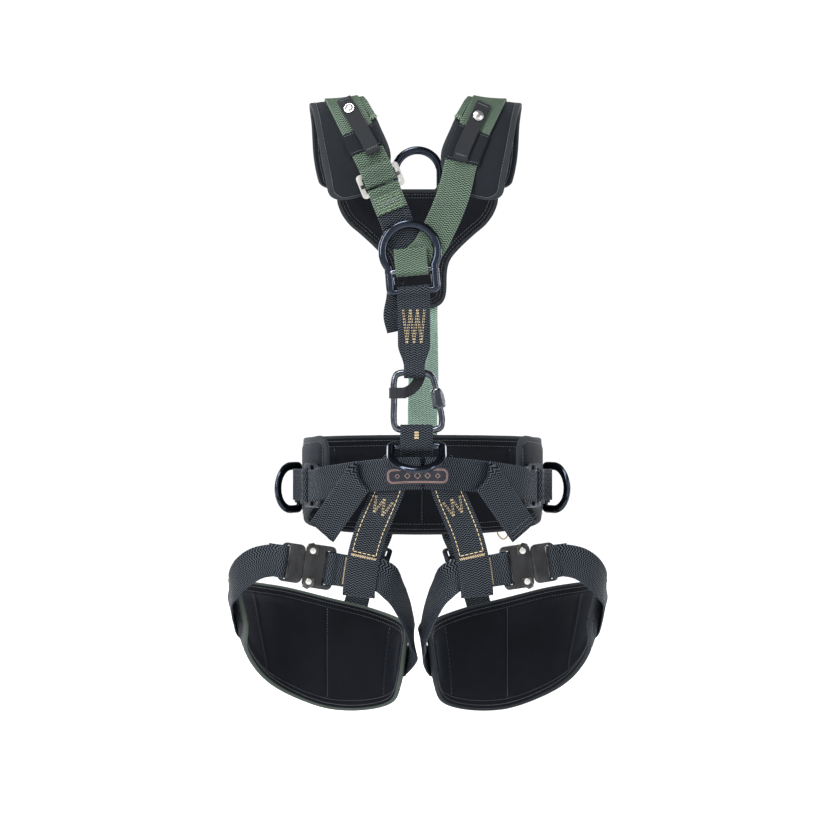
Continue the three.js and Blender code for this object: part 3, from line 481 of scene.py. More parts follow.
def spacer_mesh(name, dark, light):
    """Padded lining: a knitted face with small staggered holes over foam."""
    m = Shade(name)
    x, y = m.uv()
    pitch = 2.6
    rows = y / (pitch * 0.86)
    shifted = m.math("FRACT", m.math("FLOOR", rows) * 0.5) * pitch + x
    dx = m.math("FRACT", shifted / pitch) - 0.5
    dy = m.math("FRACT", rows) - 0.5
    solid = m.ramp(m.math("SQRT", dx * dx + dy * dy), 0.16, 0.36)
    cloud = m.noise(m.place(), 0.02, 4.0)
    fuzz = m.noise(m.place(), 0.9, 2.0)
    m.bump(cloud * 1.2 + solid, 0.6, 0.5)
    return m.set(color=m.mix(solid * (cloud * 0.9 + fuzz * 0.25), dark, light), roughness=0.82, sheen=0.06,
                 sheen_tint=(0.55, 0.66, 0.9), sheen_roughness=0.35, specular=0.12)


def cordura(name, dark, light):
    """Plain-weave shell cloth of the pads."""
    m = Shade(name)
    x, y = m.uv()
    over = m.math("SINE", x * 5.2) * m.math("SINE", y * 5.2)
    cloud = m.noise(m.place(), 0.015, 4.0)
    yarn = m.noise(m.vector(x * 2.0, y * 0.4), 1.2)
    m.bump(over * 0.5 + cloud, 0.5, 0.35)
    color = m.mix(over * 0.12 + cloud * 0.5 + yarn * 0.45, dark, light)
    return m.set(color=color, roughness=0.78, sheen=0.05, sheen_tint=(0.6, 0.7, 0.9), specular=0.15)


def metal(name, dark, light, rough, metallic, wear_and_highlight=0.0):
    """Anodised or plated metal: cloudy finish, fine grain and, where asked, paler edges that are partly wear
    and partly a painted highlight.
    """
    m = Shade(name)
    cloud = m.noise(m.place(), 0.05, 4.0)
    fine = m.noise(m.place(), 1.3)
    color = m.mix(fine * 0.35 + cloud * 0.65, dark, light)
    if wear_and_highlight:
        # Paler edges: partly worn metal, partly a painted highlight where the rounded edges would catch the
        # light.
        edge = m.ramp(m.result("ShaderNodeNewGeometry", output="Pointiness"), 0.505, 0.56)
        share = edge * (m.ramp(cloud, 0.4, 0.7) * wear_and_highlight)
        color = m.mix(share, color, tuple(min(1.0, c * 2 + 0.25) for c in light))
    m.bump(cloud * 0.6 + fine, 0.25, 0.06)
    return m.set(color=color, roughness=(cloud - 0.5) * 0.22 + rough, metallic=metallic)


def thread(name, color):
    m = Shade(name)
    x, y = m.uv()
    twist = m.wave(x * 0.9 + y, 0.7)
    m.bump(twist, 0.6, 0.12)
    shade = m.noise(m.place(), 0.6) * 0.5 + twist * 0.5
    dark = tuple(c * 0.55 for c in color)
    return m.set(color=m.mix(shade, dark, color), roughness=0.6, sheen=0.3)


BLACK_WEB = woven("black_webbing", (0.0016, 0.002, 0.0026), (0.019, 0.026, 0.036))
GREEN_WEB = woven("green_webbing", (0.014, 0.023, 0.016), (0.085, 0.125, 0.09), tint=(0.8, 0.95, 0.8))
MINT_WEB = woven("mint_webbing", (0.05, 0.085, 0.068), (0.28, 0.39, 0.33), tint=(0.9, 1, 0.95))
ELASTIC = ribbed("elastic", (0.001, 0.001, 0.0015), (0.016, 0.018, 0.022), pitch=1.6)
BINDING = ribbed("edge_binding", (0.001, 0.0015, 0.002), (0.022, 0.027, 0.032))
BINDING_GREEN = ribbed("edge_binding_grey_green", (0.008, 0.012, 0.01), (0.075, 0.095, 0.08))
MESH = spacer_mesh("spacer_mesh", (0.0003, 0.0004, 0.0007), (0.005, 0.0065, 0.011))
SHELL = cordura("shell_cloth", (0.0006, 0.0008, 0.001), (0.008, 0.0105, 0.015))
GOLD = thread("gold_thread", (0.72, 0.55, 0.3))
DARK = thread("dark_thread", (0.07, 0.08, 0.095))
GREEN = thread("green_thread", (0.22, 0.34, 0.2))
# The edge setting paints paler edges: partly wear, partly a painted highlight.
RING = metal("black_anodised", (0.014, 0.018, 0.026), (0.036, 0.044, 0.06), 0.15, 0.95, wear_and_highlight=0.6)
STEEL = metal("dark_steel", (0.022, 0.025, 0.032), (0.08, 0.088, 0.105), 0.2, 1.0, wear_and_highlight=0.6)
BRIGHT = metal("bright_steel", (0.36, 0.36, 0.35), (0.64, 0.63, 0.6), 0.3, 1.0)
BUCKLE = metal("buckle_black", (0.003, 0.003, 0.0035), (0.014, 0.0145, 0.016), 0.34, 0.5, wear_and_highlight=0.3)
LATCH = metal("latch_gold", (0.42, 0.24, 0.05), (0.75, 0.5, 0.14), 0.33, 0.9)
PATCH = ribbed("label_cloth", (0.004, 0.005, 0.007), (0.022, 0.026, 0.034), pitch=0.8)
COPPER = thread("label_border", (0.36, 0.21, 0.19))
CORD = thread("gear_cord", (0.42, 0.34, 0.15))
SLOTS = {
    BLACK_WEB: "webbing_black", GREEN_WEB: "webbing_green", MINT_WEB: "webbing_mint",
    ELASTIC: "webbing_black", SHELL: "pad_cover", MESH: "pad_cover", PATCH: "label_fabric",
    RING: "anodised_black", BUCKLE: "anodised_black", STEEL: "dark_steel", BRIGHT: "bright_steel",
    LATCH: "latch_gold", CORD: "gear_cord",
}


# ---------- routes ----------

def row(at, across):
    return [*at, *across]


def loop_rows(centre, radius, out, away, bar, main=None, rest=None, tail=20.0, turn=0.55):
    """Rows of a strap that turns back round a bar. away points from the strap to the bar, and out from the
    arriving layer to the returning one. main and rest say how far along out the two layers lie."""
    main = -radius if main is None else main
    rest = main + LAYER + 0.3 if rest is None else rest

    def spot(n, s):
        return row(centre + out * n + away * s, bar)

    def reach(drop):
        return radius * math.sin(turn) + drop * math.cos(turn) / math.sin(turn)

    early = turn if main > -radius + 0.1 else 0
    late = turn if rest < radius - 0.1 else 0
    rows = []
    if early:
        start = reach(main + radius * math.cos(turn))
        rows.append(spot(main, -start))
        rows.append(spot((main - radius * math.cos(turn)) / 2, -(start + radius * math.sin(turn)) / 2))
    else:
        rows.append(spot(-radius, -radius))
    for i in range(7):
        angle = -early + (math.pi + early + late) * i / 6
        rows.append(spot(-radius * math.cos(angle), radius * math.sin(angle)))
    if late:
        back = reach(radius * math.cos(turn) - rest)
        rows.append(spot((rest + radius * math.cos(turn)) / 2, -(back + radius * math.sin(turn)) / 2))
        rows.append(spot(rest, -back))
        rows.append(spot(rest, -back - tail))
    else:
        rows.append(spot(radius, -radius))
        rows.append(spot(radius, -radius - tail))
    return rows


def extend(start, direction, distance):
    return row(np.array(start[:3]) + direction * distance, start[3:])


def sling(top, top_radius, top_bar, bottom, bottom_radius, bottom_bar, front):
    """A sewn sling round two parallel bars, its layers stitched together between them."""
    down = unit(bottom - top)
    pinch = LAYER / 2
    upper = loop_rows(top, top_radius, front, -down, top_bar, -pinch, pinch, 6)
    lower = loop_rows(bottom, bottom_radius, -front, down, bottom_bar, -pinch, pinch, 6)
    return upper[:-1] + lower


# ---------- shoulder pads ----------

SHOULDER_SHIFT = -3.0
SHOULDER_WIDE = 80.0
SHOULDER_T = PAD_T - 2
SHOULDER_MID = YOKE_FRONT - GAP - SHOULDER_T / 2
SHOULDER = [
    (104, SHOULDER_MID, 8, 1, 0, 0, 66),
    (105, SHOULDER_MID, 30, 1, 0, 0, 76),
    (107, SHOULDER_MID - 2, 55, 1, 0, 0, 80),
    (110, -42, 97, 1, 0, 0, 78),
    (112, -88, 119, 1, 0.08, 0, 76),
    (105, -130, 106, 0.96, 0.12, -0.26, 76),
    (92, -149, 66, 0.95, 0, -0.3, 86),
    (80, -156, 22, 0.95, 0, -0.3, 92),
    (83, -157, -8, 0.97, 0, -0.25, 72),
    (86, -156, -20, 0.97, 0, -0.25, 34),
]


TAPE_WIDTH = 10.0
TAPE_OVER = 1.6
TAPE_LIFT = 0.9


class Pad:
    """A foam pad lofted between two rails: full in the middle, with a stitched rim and a bound edge.
    x runs across it from its middle and y along it, in millimetres; face is 1 or -1 along its normal."""

    def __init__(self, rows, full, heart, margin, seams, corner=16.0, crown=2.2):
        self.rails = []
        for end in (-0.5, 0.5):
            self.rails.append(catmull([np.array(r[:3]) + unit(r[3:6]) * end * r[6] for r in rows]))
        middle = np.array([(self.rails[0](t) + self.rails[1](t)) / 2 for t in np.linspace(0, 1, 80)])
        self.length = float(running(middle)[-1])
        self.full = full
        self.margin = margin
        self.seams = seams
        self.corner = corner
        self.crown = crown
        self.known = {}
        at, _, out = self.at(0.5, 0.5)
        self.inner = 1 if np.dot(np.asarray(heart) - at, out) > 0 else -1

    def slice(self, t):
        if t not in self.known:
            a, b = self.rails
            low, high = max(0.0, t - 1e-3), min(1.0, t + 1e-3)
            self.known[t] = a(t), b(t), a(high) - a(low), b(high) - b(low)
        return self.known[t]

    def at(self, s, t):
        a, b, along_a, along_b = self.slice(t)
        side = unit(b - a)
        out = unit(np.cross(along_a + (along_b - along_a) * s, side))
        return a + (b - a) * s, side, out

    def middle_at(self, x, y):
        """A point half-way through the foam, and the normal there."""
        a, b, _, _ = self.slice(y / self.length)
        at, _, out = self.at(0.5 + x / float(np.linalg.norm(b - a)), y / self.length)
        return at, out

    def half(self, y):
        """Half the width at a place along the pad, less its rounded corners."""
        a, b, _, _ = self.slice(y / self.length)
        near = min(y, self.length - y, self.corner)
        inset = self.corner - math.sqrt(max(0.0, self.corner ** 2 - (self.corner - near) ** 2))
        return float(np.linalg.norm(b - a)) / 2 - inset

    def height(self, x, y, face):
        edge = max(0.0, min(self.half(y) - abs(x), y, self.length - y))
        bound = BINDING_T / 2
        if face != self.inner:
            return bound + (self.full / 2 - bound) * smoothstep(2, 16, edge)
        if edge < self.margin:
            return bound + 1.3 * math.sin(math.pi * min(1, edge / self.margin)) ** 0.7
        puff = 0.35 * math.sin(x / 17 + y / 23) + 0.25 * math.sin(y / 9.5 - x / 31)
        full = self.full / 2 - bound + self.crown + puff
        for seam in self.seams:
            full -= 2.6 * math.exp(-(((y - seam * self.length) / 2.6) ** 2))
        return bound + full * smoothstep(0, 11, edge - self.margin) ** 0.6

    def spot(self, x, y, face, lift=0.0):
        y = min(self.length, max(0.0, y))
        at, out = self.middle_at(x, y)
        return at + out * face * (self.height(x, y, face) + lift)

    def above(self, face, up=0.0):
        """A place function for one face of the pad."""
        return lambda x, y, lift: self.spot(x, y, face, up + lift)

    def edge_path(self, inset=0.0):
        """Closed path of (x, y) that stays a stated distance inside the edge."""
        ys = [min(self.length - inset, max(inset, y)) for y in self.stations(4.0)]
        right = [(self.half(y) - inset, y) for y in ys]
        left = [(-x, y) for x, y in reversed(right)]
        shares = [1 - k / 6 for k in range(1, 12)]
        far = [(right[-1][0] * q, ys[-1]) for q in shares]
        near = [(-right[0][0] * q, ys[0]) for q in shares]
        return right + far + left + near

    def stations(self, step):
        bend = [self.corner * (1 - math.cos(math.pi / 2 * k / 9)) for k in range(9)]
        middle = np.linspace(self.corner, self.length - self.corner, int(self.length / step))
        return bend + list(middle) + [self.length - y for y in reversed(bend)]

    def lay(self, build, inner_mat, outer_mat):
        shares = np.sin(np.linspace(-math.pi / 2, math.pi / 2, 35))
        for face in (1, -1):
            rows, uvs = [], []
            for y in self.stations(3.0):
                xs = shares[::face] * self.half(y)
                rows.append([self.spot(x, y, face) for x in xs])
                uvs.append([(x, y) for x in xs])
            build.grid(rows, uvs, inner_mat if face == self.inner else outer_mat)

    def bind(self, build, mat, thread_mat):
        """The tape folded over the pad's edge, with its row of stitches on both faces."""
        spots, outs = zip(*(self.middle_at(x, y) for x, y in self.edge_path()))
        fold_tape(build, spots, outs, mat)
        for face in (1, -1):
            sew(build, self.above(face, TAPE_LIFT), self.edge_path(TAPE_WIDTH - 3.2), thread_mat, radius=0.3)

    def quilt(self, build, mat):
        """Stitches round the raised panel and along its cross seams, on the wearer's side."""
        place = self.above(self.inner)
        sew(build, place, self.edge_path(self.margin - 1.5), mat, radius=0.32, gap=1.6)
        for seam in self.seams:
            y = seam * self.length
            reach = self.half(y) - self.margin
            path = [(reach * k / 8, y) for k in range(-8, 9)]
            sew(build, place, path, mat, radius=0.28, gap=1.6)


def fold_tape(build, spots, outs, mat):
    """Binding tape round a closed edge: a soft flat loop of tape whose section wraps the edge."""
    spots = np.array(spots)
    count = len(spots)
    half, thick = TAPE_WIDTH / 2, BINDING_T / 2 + 0.8
    section = []
    for turn in circle(20):
        reach = half * (1 + bulge(math.cos(turn), 0.75)) - TAPE_OVER
        section.append((reach, thick * bulge(math.sin(turn), 0.55)))

    def inward(k):
        return unit(np.cross(outs[k], spots[(k + 1) % count] - spots[k - 1]))

    flip = 1 if np.dot(spots.mean(axis=0) - spots[0], inward(0)) > 0 else -1
    rows, uvs = [], []
    for i, run in enumerate(running([*spots, spots[0]])):
        k = i % count
        wander = 0.35 * math.sin(run / 21) + 0.25 * math.sin(run / 8.3)
        side = flip * inward(k)
        rows.append([spots[k] + side * (x + wander * (x > 4)) + outs[k] * y for x, y in section])
        uvs.append([(j, run) for j in range(21)])
    build.grid(rows, uvs, mat, closed=True)


def shoulder_rows(side):
    rows = []
    for x, y, z, ux, uy, uz, w in SHOULDER:
        rows.append((side * x + SHOULDER_SHIFT, y, z, ux, side * uy, side * uz, w))
    return rows


SHOULDERS = {
    side: Pad(shoulder_rows(side), SHOULDER_T, (side * 107, -85, 20), margin=11, crown=1.6, seams=(0.44,))
    for _, side in SIDES
}
WEB_ON_SHOULDER = SHOULDER_T / 2 + GAP + WEB_T / 2
WEB_ON_YOKE = YOKE_BACK + GAP + WEB_T / 2


def on_shoulder(side, k, inward=0.0, lift=0.0):
    """A row on the outer face: k is the place along SHOULDER, inward moves it towards the neck."""
    at, wide, out = SHOULDERS[side].at(0.5 - side * inward / SHOULDER_WIDE, k / (len(SHOULDER) - 1))
    return row(at + out * (WEB_ON_SHOULDER + lift), wide)


def strap_inward(k):
    """How far towards the neck the shoulder strap lies at a place along its pad."""
    return 3 + (k - 3) ** 1.4 * 2


def shoulder_start(side):
    slant = (0.72, 0, -0.69 * side)
    over = [on_shoulder(side, k, strap_inward(k), 1.5) for k in (3, 3.5, 4, 4.5, 5, 5.5, 6)]
    return [
        (side * 29, WEB_ON_YOKE, -24, *slant),
        (side * 52, WEB_ON_YOKE, 6, *slant),
        (side * 78, WEB_ON_YOKE, 44, 0.88, 0, -0.47 * side),
        (side * 95 + SHOULDER_SHIFT, WEB_ON_YOKE + 1.5, 74, 0.95, 0, -0.3 * side),
        *over,
    ]


# ---------- chest ----------

FRAME_LONG = 34.0
FRAME_RAIL = 6.0
FRAME_THICK = 4.0
FRAME_BAR = 3.0
BAR_LOOP_R = FRAME_BAR + GAP + WEB_T / 2
RAIL_LOOP_R = math.hypot(FRAME_RAIL, FRAME_THICK) / 2 + GAP + WEB_T / 2
RAIL_AT = (FRAME_LONG - FRAME_RAIL) / 2

CHEST_LOAD = unit(v3(0.37, 0.05, -0.93))
CHEST_ACROSS = unit(v3(0.93, 0, 0.37))
CHEST_OUT = unit(np.cross(CHEST_LOAD, CHEST_ACROSS))
CHEST_AT = v3(-52, -168, 2)


def through_adjuster(at, load, out, across):
    return loop_rows(at, BAR_LOOP_R, out, load, across, rest=BAR_LOOP_R, tail=6)


def shoulder_web_left():
    def on(along, height):
        return row(CHEST_AT + CHEST_LOAD * along + CHEST_OUT * height, CHEST_ACROSS)

    turn = through_adjuster(CHEST_AT, CHEST_LOAD, CHEST_OUT, CHEST_ACROSS)[:-1]
    roll = [on(-9, 6.4), on(-15, 8.2), on(-21, 6.6), on(-23.5, 3)]
    return [*shoulder_start(-1), on_shoulder(-1, 6.5, 14, 1), on(-24, -BAR_LOOP_R), *turn, *roll]


def chest_tab():
    rail = CHEST_AT + CHEST_LOAD * RAIL_AT
    rows = loop_rows(rail, RAIL_LOOP_R, CHEST_OUT, -CHEST_LOAD, CHEST_ACROSS, -LAYER, LAYER, 26)
    return [extend(rows[0], CHEST_LOAD, 26), *rows]


STERNAL_UP = unit(v3(-0.09, 0, 1))
STERNAL_ACROSS = unit(v3(1, 0, 0.09))
STERNAL_AT = v3(-6, FRONT_Y, -151)
STERNAL_MID = STERNAL_AT + STERNAL_UP * 28
BEHIND_RING = FRONT_Y + RING_LOOP_R


def shoulder_web_right():
    def slant(k):
        return (1 - 0.07 * k, 0, -0.37 * k + 0.09 * (1 - k))

    turn = loop_rows(STERNAL_MID, RING_LOOP_R, FRONT, -STERNAL_UP, STERNAL_ACROSS, rest=0.5, tail=20)
    return [
        *shoulder_start(1),
        on_shoulder(1, 6.9, 15, 0),
        (50, -168, -14, *slant(1)),
        (34, BEHIND_RING - 1, -55, *slant(1)),
        (12, BEHIND_RING, -95, *slant(0.7)),
        *turn,
    ]


def chest_web_left():
    def between(s):
        return row(CHEST_AT + CHEST_LOAD * (RAIL_AT + s), CHEST_ACROSS)

    return [
        between(RAIL_LOOP_R + 6),
        between(RAIL_LOOP_R + 20),
        between(RAIL_LOOP_R + 34),
        (-23, BEHIND_RING + LAYER, -72, *CHEST_ACROSS),
        (-13, BEHIND_RING + LAYER + 0.5, -94, *CHEST_ACROSS),
        (-5, BEHIND_RING + LAYER + 0.5, -112, *CHEST_ACROSS),
    ]


LINK_LEFT = -33.0
LINK_TOP = -264.0
LINK_BOTTOM = -343.0
LINK_AT = v3(-5, FRONT_Y, LINK_TOP)
CHEST_SLING = sling(STERNAL_AT, RING_LOOP_R, STERNAL_ACROSS, LINK_AT, LINK_LOOP_R, X, FRONT)
CHEST_TAIL = [
    (-31, FRONT_Y + 15, -135, 1, 0, 0.1),
    (-33, FRONT_Y + 13, -160, 1, 0, 0.15),
    (-37, FRONT_Y + 12, -185, 1, 0.1, 0.2),
    (-32, FRONT_Y + 12, -207, 1, 0.2, 0),
]

VENTRAL_AT = v3(-2, FRONT_Y, -364)
VENTRAL_TILT = math.radians(55)
VENTRAL_DOWN = v3(0, -math.sin(VENTRAL_TILT), -math.cos(VENTRAL_TILT))
BEHIND_VENTRAL = FRONT_Y + 14.2


def ventral_loop():
    over = loop_rows(v3(-2, FRONT_Y, LINK_BOTTOM), LINK_LOOP_R, FRONT, Z, X, rest=LINK_LOOP_R, tail=1)
    under = loop_rows(VENTRAL_AT, RING_LOOP_R, Y, DOWN, X, rest=RING_LOOP_R, tail=5)
    start = [(-2, BEHIND_VENTRAL, z, 1, 0, 0) for z in (-424, -395, -366)]
    return [*start, *over[1:-2], *under[1:]]


# ---------- belt ----------

BELT_X = 7.0
BELT_Y = -38.0
BELT_A = 176.0
BELT_B = 130.0
BELT_Z = -402.5
BELT_DROP = 26.0


def belt(angle, out=0.0, up=0.0):
    """A point of the belt line: angle 0 is the front, 90 the wearer's left, 180 the back."""
    turn = math.radians(angle)
    normal = unit(v3(math.sin(turn) / BELT_A, -math.cos(turn) / BELT_B, 0))
    drop = BELT_DROP * (math.sin(turn) ** 2 if abs(angle) < 90 else 1)
    at = v3(BELT_X + BELT_A * math.sin(turn), BELT_Y - BELT_B * math.cos(turn), BELT_Z - drop + up)
    return at + normal * out, normal


def belt_angle(x):
    return math.degrees(math.asin((x - BELT_X) / BELT_A))


def belt_row(angle, out=0.0, up=0.0):
    return row(belt(angle, out, up)[0], Z)


def wrap(angle):
    return angle - 360 if angle > 180 else angle


WAIST_MID = -(WEB_T / 2 + GAP + PAD_T / 2)
WING = 128.0


def waist_rows():
    rows = []
    for k in range(-8, 9):
        share = k / 8
        at, _ = belt(wrap(180 + WING * share), WAIST_MID, 26 * share ** 2)
        rows.append((*at, 0, 0, 1, 148 - 64 * share ** 2))
    return rows


def waist_adjuster(side):
    at, normal = belt(side * 60, BAR_LOOP_R + 0.4)
    return at, unit(np.cross(v3(0, 0, side), normal)), normal


TAIL_ANGLE = 30.0
TAIL_OUT = 7.5
TAIL_RADIUS = 3.5
TAIL_BACK = 0.6
TAIL_DROP = 0.8


def belt_tail(side):
    """The belt's loose tail: folded over a slanting line, it hangs down and outward."""
    at, normal = belt(side * TAIL_ANGLE, TAIL_OUT)
    forward = np.cross(normal, v3(0, 0, side))
    fold = unit(forward * (1 - TAIL_BACK) - Z * TAIL_DROP)
    beside = unit(forward * TAIL_DROP + Z * (1 - TAIL_BACK))
    creep = np.dot(forward, fold) / np.dot(forward, beside) * TAIL_RADIUS
    rows = []
    for i in range(5):
        angle = math.pi * i / 4
        swing = beside * math.cos(angle) + normal * math.sin(angle)
        spot = at + fold * creep * angle
        spot = spot + TAIL_RADIUS * (beside * math.sin(angle) + normal * (1 - math.cos(angle)))
        rows.append(row(spot, fold * fold[2] + swing * beside[2]))
    hanging = unit(-forward * TAIL_BACK - Z * TAIL_DROP)
    return rows + [extend(rows[4], hanging, length) for length in (12, 50, 90)]


def waist_web_front(side):
    at, load, normal = waist_adjuster(side)
    return [
        belt_row(side * 0.8),
        belt_row(side * 12),
        belt_row(side * 24),
        belt_row(side * 36),
        belt_row(side * 46),
        *through_adjuster(at, load, normal, Z),
        belt_row(side * 49, 11),
        belt_row(side * 40, 8.5),
        *belt_tail(side),
    ]


def waist_web_back():
    def end(side):
        at, load, normal = waist_adjuster(side)
        rail = at + load * RAIL_AT
        return loop_rows(rail, RAIL_LOOP_R, normal, -load, Z, rest=-RAIL_LOOP_R + LAYER, tail=22)

    return [*end(1)[::-1], *[belt_row(wrap(angle)) for angle in range(84, 277, 12)], *end(-1)]


def side_ring(side):
    at, normal = belt(side * 103, LAYER + RING_LOOP_R)
    forward = unit(-np.cross(v3(0, 0, side), normal))
    turn = Matrix.Rotation(side * math.radians(16), 3, "Z")
    return at, normal, forward, np.array(turn @ Vector(forward))


def side_tab(side):
    at, normal, forward, _ = side_ring(side)
    rows = loop_rows(at, RING_LOOP_R, normal, forward, Z, tail=16)
    return [extend(rows[0], forward, -34), *rows]


BACK_STRAP = [
    (7, WEB_ON_YOKE, -100, 1, 0, 0),
    (7, WEB_ON_YOKE, -130, 1, 0, 0),
    (7, WEB_ON_YOKE + 0.4, -158, 1, 0, 0),
    (7, WEB_ON_YOKE + 5, -180, 1, 0, 0),
    (8, 16, -215, 1, 0, 0),
    (9, 54, -270, 1, 0, 0),
    (8, 86, -325, 1, 0, 0),
    (8, 92, -352, 1, 0, 0),
    (8, 92, -398, 1, 0, 0),
]

# ---------- leg loops ----------

LEG_WEB_X = 80.0
LEG_WEB_Y = -160.0
LEG_WEB_Z = -541.5


def front_riser(side):
    def across(lean):
        return (0.97, 0, lean * side)

    def behind_belt(bx, bz):
        at, normal = belt(belt_angle(side * bx), -LAYER - 2.6)
        return (at[0], at[1], bz, -normal[1], normal[0], 0.42 * side)

    slack = LAYER + 1.6
    front = LEG_WEB_Y - slack
    rear = LEG_WEB_Y + slack
    low = LEG_WEB_Z - WEB / 2 - 5
    turn = []
    for i in range(5):
        angle = math.pi * i / 4
        turn.append((side * (LEG_WEB_X + 2), LEG_WEB_Y - slack * math.cos(angle),
                     low - slack * math.sin(angle), *across(0.11)))
    return [
        behind_belt(27, -386),
        behind_belt(36, -408),
        behind_belt(44, -431),
        (side * 66, front + 2, -486, *across(0.34)),
        (side * 75, front, -518, *across(0.22)),
        (side * (LEG_WEB_X - 1), front, LEG_WEB_Z, *across(0.14)),
        *turn,
        (side * (LEG_WEB_X - 1), rear, LEG_WEB_Z, *across(0.14)),
        (side * 75, rear, -522, *across(0.22)),
        (side * 70, front + 2.3 + LAYER, -502, *across(0.31)),
        (side * 65, front + 3.6 + LAYER, -483, *across(0.34)),
    ]


LEG_PAD = [
    (250, -104, -589, -0.25, 0.1, -0.96, 70),
    (258, -62, -609, -0.22, 0, -0.97, 104),
    (238, -8, -637, -0.2, -0.1, -0.97, 142),
    (190, 36, -660, -0.08, -0.15, -0.98, 160),
    (130, 50, -679, 0, -0.15, -0.99, 162),
    (72, 40, -686, 0.05, -0.1, -0.99, 148),
    (30, 4, -685, 0.12, 0, -0.99, 118),
    (20, -42, -671, 0.14, 0, -0.98, 64),
]


def leg_pad(side):
    rows = [(side * x, y, z, side * ux, uy, uz, w) for x, y, z, ux, uy, uz, w in LEG_PAD]
    return Pad(rows, PAD_T, (side * 145, -45, -640), margin=15, seams=(0.3, 0.56, 0.8), corner=20)


LEG_PADS = {side: leg_pad(side) for _, side in SIDES}
BUCKLE_AT = {side: v3(side * 150, -158, -531) for _, side in SIDES}
BODY_BAR = -29.5
TONGUE_BAR = 39.0


def buckle_axes(side):
    axis = unit(v3(side, 0, 0.15))
    return axis, np.cross(FRONT, axis)


def on_leg(side, s, t, distance, sign, crossing=False):
    at, wide, out = LEG_PADS[side].at(s, t)
    across = np.cross(out, wide) if crossing else wide
    return row(at + out * distance, across * sign)


def leg_web_outer(side):
    axis, across = buckle_axes(side)
    rows = loop_rows(BUCKLE_AT[side] + axis * TONGUE_BAR, 6.5, Y, -axis, across, -1.2, 1.9, 12)
    reach = -side * (PAD_T / 2 + GAP + WEB_T / 2 + 2)
    return [
        *[on_leg(side, 0.5, t, reach, -side) for t in (0.36, 0.28, 0.2, 0.12)],
        (side * 263, -112, -580, 0, 0, side),
        (side * 259, -128, -563, 0, 0, side),
        (side * 245, -145, -543, 0, 0, side),
        (side * 223, -157, -528, 0, 0, side),
        *rows,
    ]


def leg_web_inner(side):
    axis, across = buckle_axes(side)
    rows = loop_rows(BUCKLE_AT[side] + axis * BODY_BAR, 6.8, Y, axis, across, -2, 0.9, 3, 0.8)
    reach = -side * (PAD_T / 2 + GAP + WEB_T / 2 + 2)
    slope = axis[2] / abs(axis[0])

    def crossing(dx):
        return row((side * (LEG_WEB_X + dx), LEG_WEB_Y, LEG_WEB_Z + dx * slope), across)

    return [
        *[on_leg(side, 0.5, t, reach, -side) for t in (0.72, 0.8, 0.88, 0.95)],
        (side * 5.5, -62, -652, side * -0.14, 0, side),
        (side * 8, -80, -636, 0, 0, side),
        (side * 14, -106, -610, 0, 0, side),
        (side * 24, -133, -582, 0, 0, side),
        (side * 36, -152, -560, 0, 0, side),
        crossing(-30),
        crossing(0),
        crossing(25),
        *rows,
    ]


def rear_riser(side):
    def on_belt(x, z):
        at, normal = belt(180 - belt_angle(side * x))
        return (at[0], at[1], z, -normal[1], normal[0], 0)

    centre = v3(side * 68, 84, -533)
    down = unit(v3(side * 0.3, -0.25, -0.92))
    across = unit(v3(-1, 0, -0.33 * side))
    back = unit(np.cross(down, across))
    weave = [(-16, -3), (-11, -2.9), (-7, 0), (-3, 2.9), (0, 3.2), (3, 2.9), (7, 0), (11, -2.9), (16, -3)]
    reach = -side * (PAD_T / 2 + GAP + 1.4)
    return [
        on_belt(50, -460),
        on_belt(52, -480),
        on_belt(55, -500),
        *[row(centre + down * s + back * h, across) for s, h in weave],
        *[on_leg(side, s, 0.65, reach, -1, True) for s in (0.04, 0.22, 0.42)],
    ]


# ---------- putting pieces in the frame ----------

def metres(values):
    return tuple(float(v) * MM for v in values)


def finish_piece(obj, body, nodes, slot=None):
    """The piece rides on its body and stands for the nodes named."""
    if body:
        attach(obj, body)
    if nodes:
        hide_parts(*nodes)
    slot or SLOTS[obj.data.materials[0]]


def web_piece(name, route, web, node, body="harness", stitches=None, thread_mat=GOLD, seed=1, bend=None,
              **size):
    """With bend the strap rides on no body and its transform is baked; the bodies and places that bend names
    are not used.
    bend names two bodies and the places between which the strap goes over from one to the other."""
    build = Build()
    ribbon = Ribbon(route, **size)
    lay_webbing(build, ribbon, seed=seed)
    if stitches:
        stitches(build, ribbon)
    obj = build.object(name, web, thread_mat)
    finish_piece(obj, None if bend else body, [node] if node else [])
    if bend:
        a, b, start, end = bend
        metres(start)
        metres(end)
        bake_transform(obj)


# ---------- shoulder yoke ----------

YOKE_HALF = [
    (0, 5.5), (44, 5.5), (58, 20), (78, 60), (106, 62), (115, 12), (117, -10), (110, -29), (98, -45),
    (84, -56), (62, -76), (46, -94), (41, -112), (41, -143), (37, -157), (26, -165), (0, -167),
]


def soften(points, rounds=3):
    """Closed outline with its corners cut again and again."""
    for _ in range(rounds):
        cut = []
        for a, b in zip(points, points[1:] + points[:1]):
            cut.append((0.78 * a[0] + 0.22 * b[0], 0.78 * a[1] + 0.22 * b[1]))
            cut.append((0.22 * a[0] + 0.78 * b[0], 0.22 * a[1] + 0.78 * b[1]))
        points = cut
    return points


def even(points, step):
    """The same closed outline with points about a step apart."""
    p = np.array([*points, points[0]], float)
    run = running(p)
    marks = np.linspace(0, run[-1], int(run[-1] / step) + 1)[:-1]
    return np.stack([np.interp(marks, run, p[:, i]) for i in range(2)], axis=1)


def inset_outline(points, distance):
    """Outline moved inwards by a distance, for a counter-clockwise or clockwise run of points."""
    area = np.sum(points[:, 0] * np.roll(points[:, 1], -1) - np.roll(points[:, 0], -1) * points[:, 1])
    along = np.roll(points, -1, axis=0) - np.roll(points, 1, axis=0)
    along /= np.linalg.norm(along, axis=1)[:, None]
    inward = np.stack([-along[:, 1], along[:, 0]], axis=1) * np.sign(area)
    return points + inward * distance


